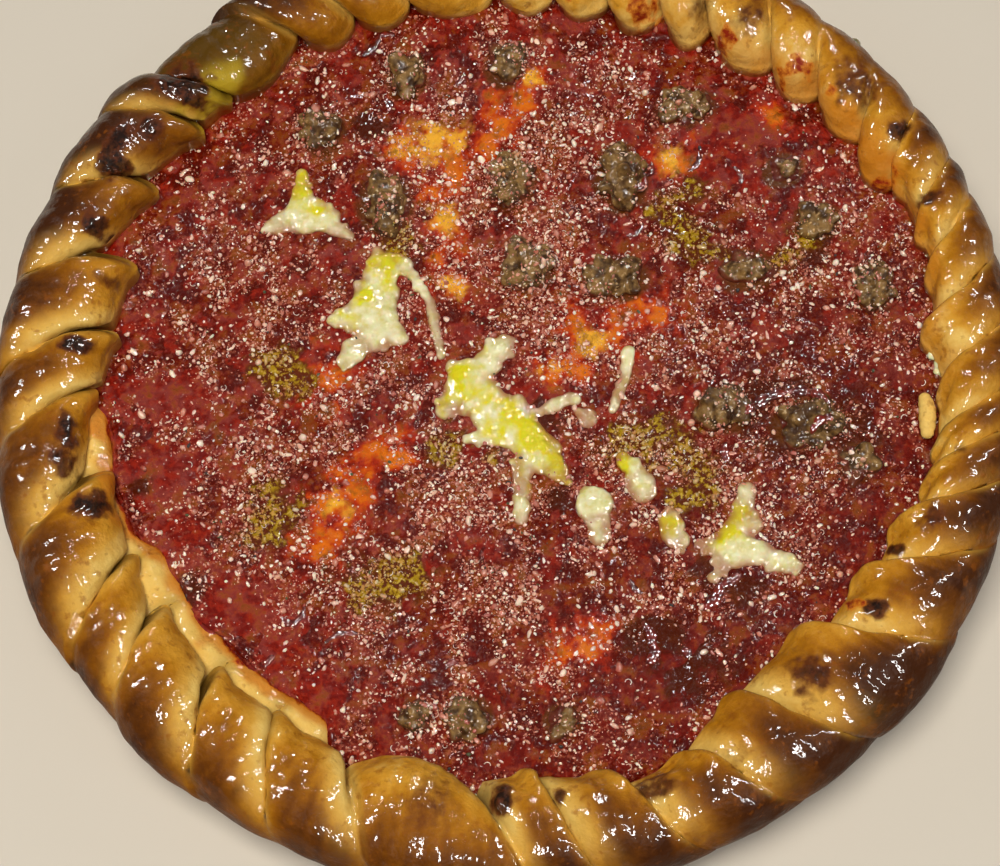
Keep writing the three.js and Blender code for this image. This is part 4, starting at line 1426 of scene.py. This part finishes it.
LOBE = dict(on=2.4, chance=0.6, size=(0.3, 0.5), away=(0.75, 1.0), lift=0.3, half=1.1)  # small side bulges
VOXEL = 0.5
BALL_RINGS = 7
BALL_SIDES = 12

print("strands:", sum(len(strands) for strands in MELTS.values()), "in", len(MELTS), "melts")

# %% The sauce's height, and one ball
sauce_finder = mathutils.kdtree.KDTree(len(top_points))
for index, (x, y, _) in enumerate(sauce_shape[: len(top_points)]):
    sauce_finder.insert((x, y, 0), index)
sauce_finder.balance()


def sauce_height(x, y):
    """The mean height of the made sauce round a place, in millimetres."""
    found = sauce_finder.find_n((x, y, 0), 12)
    return float(np.mean([sauce_shape[index, 2] for _, index, _ in found]))


polar = np.linspace(0, math.pi, BALL_RINGS)[1:-1, None]
azimuth = np.linspace(0, 2 * math.pi, BALL_SIDES, endpoint=False)[None, :]
ball_grid = np.stack([
    np.sin(polar) * np.cos(azimuth), np.sin(polar) * np.sin(azimuth), -np.cos(polar) + 0 * azimuth,
], axis=-1)
BALL_POINTS = with_poles(ball_grid, (0, 0, -1), (0, 0, 1))
BALL_FACES = closed_grid(ball_grid)
print("a ball has", len(BALL_POINTS), "points")

# %% Balls joined into a skin


def joined_balls(name, balls, voxel):
    """One smooth skin round overlapping flattened balls: x, y, z, radius and half height."""
    points, faces = [], []
    for x, y, z, radius, half in balls:
        first = len(points) * len(BALL_POINTS)
        points.append(BALL_POINTS * (radius, radius, half) + (x, y, z))
        faces += [[first + corner for corner in face] for face in BALL_FACES]
    piece = place_in_scene(name, mesh_from(name, np.concatenate(points), faces))
    remesh = piece.modifiers.new("skin", "REMESH")
    remesh.mode = "VOXEL"
    remesh.voxel_size = voxel * MM
    relax = piece.modifiers.new("relax", "SMOOTH")
    relax.iterations = 3
    keep_shape(piece)
    piece.data.shade_smooth()
    return piece


def move_points(mesh, points):
    mesh.vertices.foreach_set("co", (points * MM).astype(np.float32).ravel())
    mesh.update()


def mesh_normals(mesh):
    flat_normals = np.zeros(len(mesh.vertices) * 3, np.float32)
    mesh.vertex_normals.foreach_get("vector", flat_normals)
    return flat_normals.reshape(-1, 3).astype(float)


# %% The balls of a melt


def melt_balls(strands, rng):
    balls = []
    for x0, y0, r0, x1, y1, r1 in strands:
        length = math.hypot(x1 - x0, y1 - y0)
        count = max(2, math.ceil(length / (BALL_SPACING * min(r0, r1))))
        for share in np.linspace(0, 1, count):
            radius = mix(r0, r1, share) * rng.uniform(*BALL_UNEVEN)
            x = mix(x0, x1, share) + rng.normal(0, BALL_WANDER) * radius
            y = mix(y0, y1, share) + rng.normal(0, BALL_WANDER) * radius
            z = sauce_height(x, y) + MELT_LIFT
            balls.append((x, y, z, radius, max(MELT_LEAST_THICKNESS, radius * MELT_THICKNESS)))
            if radius > LOBE["on"] and rng.random() < LOBE["chance"]:
                way = rng.uniform(0, 2 * math.pi)
                size = radius * rng.uniform(*LOBE["size"])
                far = radius * rng.uniform(*LOBE["away"])
                lobe_x, lobe_y = x + far * math.cos(way), y + far * math.sin(way)
                z = sauce_height(lobe_x, lobe_y) + LOBE["lift"]
                balls.append((lobe_x, lobe_y, z, size, LOBE["half"]))
    return balls


# %% The melts
# milky white that light goes a little way into, yellow where oil has soaked in, and wet on top
mozzarella = make_material(
    "melted_mozzarella",
    marks=("yellow", "thin"),
    noises=dict(cloud=dict(size=3, detail=4), curd=dict(size=1.8, detail=1)),
    sums=dict(stained=("cloud", 0.2, "yellow")),
    colours=(
        "#DAD892",
        dict(by="cloud", low=0.35, high=0.65, colour="#F4F4D8"),
        dict(by="stained", low=0.1, high=0.85, colour="#E0DA0C"),
        dict(by="thin", low=0.1, most=0.85, colour="#A05A3C"),
    ),
    bumps=[dict(on=socket, height="curd", strength=0.5, depth=0.7) for socket in ("Normal", "Coat Normal")],
    roughness=0.45, ior=1.45, specular_ior_level=0.1, coat_weight=1.0, coat_roughness=0.06,
    subsurface_weight=0.25, subsurface_scale=1.5 * MM,
)
melts = []
for seed, (node, strands) in enumerate(MELTS.items()):
    rng = np.random.default_rng(100 + seed)
    melt = joined_balls(node + "_soft", melt_balls(strands, rng), VOXEL)
    shape = points_of(melt.data)
    lift = 0.3 * swell(shape, 3.2, 60 + seed) + 0.14 * swell(shape, 1.3, 61 + seed)
    shape += mesh_normals(melt.data) * lift[:, None]
    move_points(melt.data, shape)
    above_sauce = shape[:, 2] - sauce_top(shape[:, 0], shape[:, 1])
    paint(melt.data, "thin", 1 - ease(above_sauce, 0.4, 2.1))
    paint(melt.data, "yellow", spots(shape, YELLOW_PLACES, 5, 70, 1.1))
    finish_piece(melt, "cheese", mozzarella, node)
    melts.append(melt)

# %% [markdown]
# ## Grated hard cheese
#
# Hard cheese was grated over the whole pizza before it was served. Its crumbs
# are 0.35 to 2.4 mm across, thousands of them, and lie in drifts with dark gaps
# between. They are scattered over the sauce by Geometry Nodes: a few crumbs are
# made first, each a small ball pushed out of shape by a noise, and each place
# picks one, turned, stretched and half sunk. Four sizes are strewn as four
# pieces. Where the purée was left bare there are few.

# %% Grated hard cheese
DENT_SIZE = 0.55
ANY_TURN = (6.28, 6.28, 6.28)  # about each axis, in radians
MORE_SMALL = 2.2  # the higher, the more small crumbs there are for each large one
FLATTEST = (0.7, 0.5, 0.45)
LONGEST = (1.9, 1.1, 0.9)


def strewn_points(tree, given):
    """Points on a surface, dense where it is painted `strewn`, each lifted or sunk a little."""
    wanted = add(tree, "GeometryNodeInputNamedAttribute", {"Name": "strewn"}, data_type="FLOAT")
    apart, lifted = (
        add(tree, "ShaderNodeMath", {0: given[title], 1: MM}, operation="MULTIPLY")
        for title in ("Least apart", "Lifted")
    )
    points = add(tree, "GeometryNodeDistributePointsOnFaces", {
        "Mesh": given["Geometry"], "Distance Min": apart,
        "Density Max": given["In a square metre"], "Density Factor": wanted,
        "Seed": given["Seed"],
    }, distribute_method="POISSON")
    rise = add(tree, "ShaderNodeCombineXYZ", {"Z": lifted})
    return add(tree, "GeometryNodeSetPosition", {"Geometry": points.outputs["Points"], "Offset": rise})


# %% Crumbs on the points


def strewn_shape(name, material, facets, kinds=4):
    """Strews crumbs on a surface. Each kind of crumb is a ball with its own dents."""
    tree, given = new_shape_tree(
        name, In_a_square_metre=100000.0, Least_apart=1.0,
        Least_size=1.0, Most_size=2.0, Dents=0.5, Lifted=0.0, Seed=1,
    )
    if facets == 8:
        ball = add(tree, "GeometryNodeMeshUVSphere", {"Radius": MM / 2, "Segments": 4, "Rings": 2})
    else:
        ball = add(tree, "GeometryNodeMeshIcoSphere", {
            "Radius": MM / 2, "Subdivisions": {20: 1, 80: 2}[facets],
        })
    place = add(tree, "GeometryNodeInputPosition")
    crumbs = tree.nodes.new("GeometryNodeGeometryToInstance")
    for kind in range(kinds):
        dent = add(tree, "ShaderNodeTexNoise", {
            "Vector": place, "W": 3.1 * kind, "Scale": per_metre(DENT_SIZE), "Detail": 1,
        }, noise_dimensions="4D")
        depth = add(tree, "ShaderNodeMath", {0: dent, 1: 0.5}, operation="SUBTRACT")
        depth = add(tree, "ShaderNodeMath", {0: depth, 1: given["Dents"]}, operation="MULTIPLY")
        push = add(tree, "ShaderNodeVectorMath", {0: place, "Scale": depth}, operation="SCALE")
        dented = add(tree, "GeometryNodeSetPosition", {"Geometry": ball.outputs["Mesh"], "Offset": push})
        tree.links.new(dented.outputs[0], crumbs.inputs[0])
    turn = add(tree, "FunctionNodeRandomValue", {
        "Min": (0, 0, 0), "Max": ANY_TURN, "Seed": given["Seed"],
    }, data_type="FLOAT_VECTOR")
    chosen = add(tree, "FunctionNodeRandomValue", {"Seed": given["Seed"]}, data_type="FLOAT")
    skewed = add(tree, "ShaderNodeMath", {0: chosen.outputs[1], 1: MORE_SMALL}, operation="POWER")
    size = add(tree, "ShaderNodeMapRange", {
        "Value": skewed, "To Min": given["Least size"], "To Max": given["Most size"],
    })
    uneven = add(tree, "FunctionNodeRandomValue", {
        "Min": FLATTEST, "Max": LONGEST, "Seed": given["Seed"],
    }, data_type="FLOAT_VECTOR")
    stretch = add(tree, "ShaderNodeVectorMath", {0: uneven.outputs[0], "Scale": size}, operation="SCALE")
    strewn = add(tree, "GeometryNodeInstanceOnPoints", {
        "Points": strewn_points(tree, given), "Instance": crumbs, "Pick Instance": True,
        "Rotation": turn.outputs[0], "Scale": stretch,
    })
    shade = add(tree, "FunctionNodeRandomValue", {"Seed": 5}, data_type="FLOAT")
    stored = add(tree, "GeometryNodeStoreNamedAttribute", {
        "Geometry": strewn, "Name": "shade", "Value": shade.outputs[1],
    }, data_type="FLOAT", domain="INSTANCE")
    real = add(tree, "GeometryNodeRealizeInstances", {"Geometry": stored})
    dressed = add(tree, "GeometryNodeSetMaterial", {"Geometry": real, "Material": material})
    give_out(tree, dressed)
    return tree


# %% Where the crumbs land
LANDING_CELL = 0.9  # the side of a square, in millimetres
LANDING_CELLS = 320


def landing_height(pieces, places):
    """The highest point of the pieces in the small square cell that each place lies in."""
    highest = np.full((LANDING_CELLS, LANDING_CELLS), -1.0)
    for piece in pieces:
        shape = points_of(piece.data)
        cell = np.floor(shape[:, :2] / LANDING_CELL).astype(int) + LANDING_CELLS // 2
        np.maximum.at(highest, (cell[:, 0], cell[:, 1]), shape[:, 2])
    cell = np.floor(places[:, :2] / LANDING_CELL).astype(int) + LANDING_CELLS // 2
    return highest[cell[:, 0], cell[:, 1]]


landing = sauce.data.copy()
level = np.maximum(sauce_shape[:, 2], np.where(on_top > 0, film_points[:, 2], 0))
on_lumps = landing_height(lumps, sauce_shape)
on_melts = landing_height(melts, sauce_shape)
landing_points = sauce_shape.copy()
landing_points[:, 2] = np.maximum(level, np.where(on_top > 0, np.maximum(on_lumps, on_melts), 0))
move_points(landing, landing_points)
strewn = zones["drift"] * (on_top > 0.99) * (1 - ease(on_melts - level, 0.3, 1.1))
strewn *= 1 - 0.55 * (on_lumps > level)
paint(landing, "strewn", strewn)
print("cheese lies on", round(100 * float((strewn > 0).mean())), "% of the points, thickly or thinly")

# %% Four sizes of crumb
# pinkish cream crumbs, some of them nearly white, with a wet shine from the oil
grated = make_material(
    "grated_hard_cheese",
    marks=("shade", "olive_oil"),
    noises=dict(rasp=dict(size=0.5, detail=2)),
    colours=(
        "#A84836",
        dict(by="shade", high=0.65, colour="#DA967C"),
        dict(by="shade", low=0.5, colour="#FFF2E4"),
        dict(by="olive_oil", low=0.2, high=0.7, most=0.85, colour="#BC9C44"),
    ),
    bumps=[dict(on="Normal", height="rasp", strength=0.4, depth=0.2)],
    roughness=0.45, ior=1.45, coat_weight=1.0, coat_roughness=0.1,
    subsurface_weight=0.3, subsurface_scale=0.6 * MM,
)
STREWINGS = {  # piece: faces of a crumb and how it is strewn
    "grated_cheese_coarse": (80, dict(
        In_a_square_metre=150000.0, Least_apart=1.5, Least_size=1.2, Most_size=2.4,
        Dents=1.6, Lifted=-0.2, Seed=3,
    )),
    "grated_cheese_medium": (20, dict(
        In_a_square_metre=640000.0, Least_apart=0.85, Least_size=0.85, Most_size=1.4,
        Dents=1.3, Lifted=-0.15, Seed=5,
    )),
    "grated_cheese_small": (8, dict(
        In_a_square_metre=900000.0, Least_apart=0.65, Least_size=0.6, Most_size=0.95,
        Dents=1.2, Lifted=-0.05, Seed=8,
    )),
    "grated_cheese_fine": (8, dict(
        In_a_square_metre=350000.0, Least_apart=0.5, Least_size=0.35, Most_size=0.6,
        Dents=1.0, Lifted=0.0, Seed=4,
    )),
}
for name, (facets, values) in STREWINGS.items():
    crumbs = grow(name, strewn_shape(name, grated, facets), landing.copy(), **values)
    finish_piece(crumbs, "cheese", grated)

# %% [markdown]
# ## Bright curls: painted glints
#
# Short bright curls, about 0.25 mm thick, each a bit of a ring, are painted
# glints: they stand for the glints of the oil round the crumbs, coloured like the
# finest part of the grating. An arc is swept with a four-sided section, and three
# arcs of other lengths are strewn like the crumbs, lying nearly flat.

# %% Curls painted as glints
CURL_LENGTHS = (100, 160, 230)  # how much of a ring each kind is, in degrees
CURL_SIZES = {"Min": 0.5, "Max": 1.3}


def curl_shape(material):
    tree, given = new_shape_tree(
        "curls", In_a_square_metre=30000.0, Least_apart=1.5,
        Ring_radius=0.8, Thickness=0.22, Tilt=0.5, Lifted=0.3, Seed=1,
    )
    bend = add(tree, "ShaderNodeMath", {0: given["Ring radius"], 1: MM}, operation="MULTIPLY")
    thick = add(tree, "ShaderNodeMath", {0: given["Thickness"], 1: MM / 2}, operation="MULTIPLY")
    section = add(tree, "GeometryNodeCurvePrimitiveCircle", {"Resolution": 4, "Radius": thick})
    curls = tree.nodes.new("GeometryNodeGeometryToInstance")
    for length in CURL_LENGTHS:
        arc = add(tree, "GeometryNodeCurveArc", {
            "Resolution": 6, "Radius": bend, "Sweep Angle": math.radians(length),
        })
        swept = add(tree, "GeometryNodeCurveToMesh", {
            "Curve": arc, "Profile Curve": section, "Fill Caps": True,
        })
        tree.links.new(swept.outputs[0], curls.inputs[0])
    low = add(tree, "ShaderNodeMath", {0: given["Tilt"], 1: -1.0}, operation="MULTIPLY")
    least = add(tree, "ShaderNodeCombineXYZ", {"X": low, "Y": low, "Z": 0.0})
    most = add(tree, "ShaderNodeCombineXYZ", {
        "X": given["Tilt"], "Y": given["Tilt"], "Z": 2 * math.pi,
    })
    turn = add(tree, "FunctionNodeRandomValue", {
        "Min": least, "Max": most, "Seed": given["Seed"],
    }, data_type="FLOAT_VECTOR")
    size = add(tree, "FunctionNodeRandomValue", {**CURL_SIZES, "Seed": 9}, data_type="FLOAT")
    strewn = add(tree, "GeometryNodeInstanceOnPoints", {
        "Points": strewn_points(tree, given), "Instance": curls, "Pick Instance": True,
        "Rotation": turn.outputs[0], "Scale": size.outputs[1],
    })
    real = add(tree, "GeometryNodeRealizeInstances", {"Geometry": strewn})
    dressed = add(tree, "GeometryNodeSetMaterial", {"Geometry": real, "Material": material})
    add(tree, "NodeGroupOutput", {"Geometry": dressed})
    return tree


print("curls of", len(CURL_LENGTHS), "lengths")

# %% The curls
# painted glints: cream to white curls, the brightest thing on the pizza, each with a small wet glint of its
# own
glint_curl_material = make_material(
    "curls_of_hard_cheese",
    noises=dict(cloud=dict(size=5, detail=3)),
    colours=("#E2BCA8", dict(by="cloud", low=0.4, high=0.6, colour="#FFF6EE")),
    roughness=0.35, ior=1.45, coat_weight=1.0, coat_roughness=0.08,
)
curls = grow("cheese_curls", curl_shape(glint_curl_material), landing.copy(), In_a_square_metre=36000.0, Seed=6)
finish_piece(curls, "cheese", glint_curl_material)

# %% [markdown]
# ## Herbs and pepper
#
# Dried herbs and ground pepper lie among the crumbs, a few hundred flecks of 0.5
# to 1.4 mm, olive and nearly black. They are strewn in the same way as the cheese.

# %% Herbs and pepper
# dull dry flecks: some nearly black, the others a dark olive green
herb = make_material(
    "dried_herb_and_pepper",
    marks=["shade"],
    colours=("#1C1008", dict(by="shade", low=0.5, high=0.6, colour="#3E4A16")),
    roughness=0.6, ior=1.45,
)
flecks = grow(
    "herb_flecks", strewn_shape("herb_flecks", herb, 20), landing.copy(),
    In_a_square_metre=15000.0, Least_apart=2.0, Least_size=0.5, Most_size=1.4,
    Dents=1.8, Lifted=0.0, Seed=11,
)
finish_piece(flecks, "sauce", herb)

# %% [markdown]
# ## Runs of juice
#
# Where juice has crept together it stands up in short crooked runs, 2 to 3 mm
# wide. Their round backs mirror the lamps as long white squiggles, which the
# film, whose points lie 1 mm apart, is too coarse for. Each run is a bent line of
# small balls that thins towards its ends, laid on the film and joined into a skin.

# %% Runs of juice
JUICE_RUNS = [  # start, bend and end as x and y, and the half width, in millimetres
    (70, -21, 76, -14, 84, -15, 1.2), (84, -15, 90, -13, 95, -22, 1.1),
    (88, -30, 91, -25, 95, -26, 1.0), (63, -28, 61, -31, 63, -34, 0.9),
    (61, -68, 58, -71, 54, -71, 1.0), (55, -71, 53, -76, 49, -77, 1.3),
    (31, -79, 34, -84, 32, -86, 1.0), (33, -85, 34, -90, 30, -91, 1.1),
    (42, -91, 43, -89, 41, -89, 0.9), (29, -65, 29, -69, 32, -70, 0.7),
    (-74, -63, -72, -67, -69, -65, 0.8), (-71, -65, -67, -65, -67, -61, 0.7),
    (-62, -73, -57, -69, -51, -72, 0.7), (-28, -85, -26, -82, -24, -84, 0.7),
    (-80, -78, -79, -75, -77, -75, 0.7), (-31, 115, -26, 117, -25, 121, 0.9),
    (-25, 121, -23, 122, -20, 120, 0.8), (-26, 99, -23, 97, -25, 95, 0.8),
    (-3, 101, -1, 101, 0, 104, 0.6), (47, 55, 52, 57, 51, 62, 0.7),
    (52, 61, 55, 62, 54, 66, 0.6), (65, 61, 70, 63, 69, 67, 0.7),
    (43, 43, 46, 41, 49, 46, 0.6), (80, 54, 82, 57, 79, 60, 0.7),
]
RUN_WIDENED = 1.5  # the small balls are wider than the line that shows
RUN_TALL = 0.5  # of its half width
RUN_STEPS = 26
RUN_VOXEL = 0.3


def run_balls(x0, y0, x1, y1, x2, y2, half):
    shares = np.linspace(0, 1, RUN_STEPS)
    xs = mix(mix(x0, x1, shares), mix(x1, x2, shares), shares)
    ys = mix(mix(y0, y1, shares), mix(y1, y2, shares), shares)
    thick = RUN_WIDENED * half * (0.3 + 0.7 * np.sin(math.pi * shares) ** 0.7)
    thick *= 1 + 0.2 * np.sin(shares * 17 + x0)
    return [(x, y, run_level(x, y), size, size * RUN_TALL) for x, y, size in zip(xs, ys, thick)]


def run_level(x, y):
    """The mean height of whatever shows round a place: purée, film or lump."""
    found = sauce_finder.find_n((x, y, 0), 8)
    return float(np.mean([landing_points[index, 2] for _, index, _ in found])) + 0.1


# clear dark red syrup, whose strong coat mirrors a lamp as a soft pale line along each run
thick_juice = make_material(
    "thick_tomato_juice",
    noises=dict(cloud=dict(size=3, detail=4)),
    colours=("#4E0C02", dict(by="cloud", low=0.4, high=0.62, colour="#82200C")),
    roughness=0.3, ior=1.4, specular_ior_level=0.2, coat_weight=1.0, coat_roughness=0.14, coat_ior=1.9,
)

# %% The runs
balls = [ball for run in JUICE_RUNS for ball in run_balls(*run)]
runs = joined_balls("juice_runs", balls, RUN_VOXEL)
finish_piece(runs, "sauce", thick_juice)
print("runs of juice:", len(JUICE_RUNS))

# %% [markdown]
# ## Beads of dough and a drip of fat
#
# At the right a small bead of dough and a few crumbs of curd sit between the
# folds and the sauce. At the top right a grey-olive drop of fat and cheese has
# run over the rim and set. Each is a few balls joined into one skin.

# %% Beads of dough and a drip of fat
DOUGH_BEAD = [  # x, y, z, radius, half height
    (122.2, -33.6, 30.5, 2.1, 1.9), (122.6, -31.6, 30.7, 2.6, 2.3), (123.0, -29.4, 30.9, 2.8, 2.5),
    (123.3, -27.2, 30.9, 2.8, 2.5), (123.4, -25.0, 30.8, 2.5, 2.2), (123.3, -23.2, 30.6, 2.0, 1.8),
]
CURD_CRUMBS = [
    (127.6, -10.4, 31.6, 1.5, 1.3), (129.4, -13.6, 32.2, 2.0, 1.7), (129.8, -16.8, 32.0, 1.3, 1.2),
    (128.2, -15.4, 31.4, 1.2, 1.1),
]
DRIP_LOBES = [  # right, back, up, radius and half height, as parts of the fixed drip's half sides
    (-0.1, -0.1, 0, 0.75, 0.9), (0.25, 0.15, 0.05, 0.6, 0.75), (-0.35, 0.35, 0.1, 0.5, 0.7),
    (0.3, -0.4, -0.2, 0.5, 0.7),
]
FINE_VOXEL = 0.35

# grey-olive fat, a little see-through and greasy
set_fat = make_material(
    "set_fat_and_cheese",
    noises=dict(cloud=dict(size=4, detail=3)),
    colours=("#6E6640", dict(by="cloud", low=0.35, high=0.65, colour="#9A9068")),
    roughness=0.3, ior=1.45, coat_weight=0.6, coat_roughness=0.08,
    subsurface_weight=0.3, subsurface_scale=2 * MM,
)
bead = joined_balls("dough_bead", DOUGH_BEAD, FINE_VOXEL)
finish_piece(bead, "crust", dough)
curd = joined_balls("curd_crumbs", CURD_CRUMBS, FINE_VOXEL)
finish_piece(curd, "cheese", mozzarella)
low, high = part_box("edge_drip")
centre = (low + high) / 2 / MM
half = (high - low) / 2 / MM
drip_balls = [
    (*(centre + Vector((right * half.x, back * half.y, up * half.z))), size * half.x, tall * half.z)
    for right, back, up, size, tall in DRIP_LOBES
]
drip = joined_balls("edge_drip_set", drip_balls, FINE_VOXEL)
finish_piece(drip, "cheese", set_fat, "edge_drip")

# %% [markdown]
#
# The size of everything that is shown is printed, in metres.

low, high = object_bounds()
print("visual model:", [round(side, 4) for side in high - low], "m")
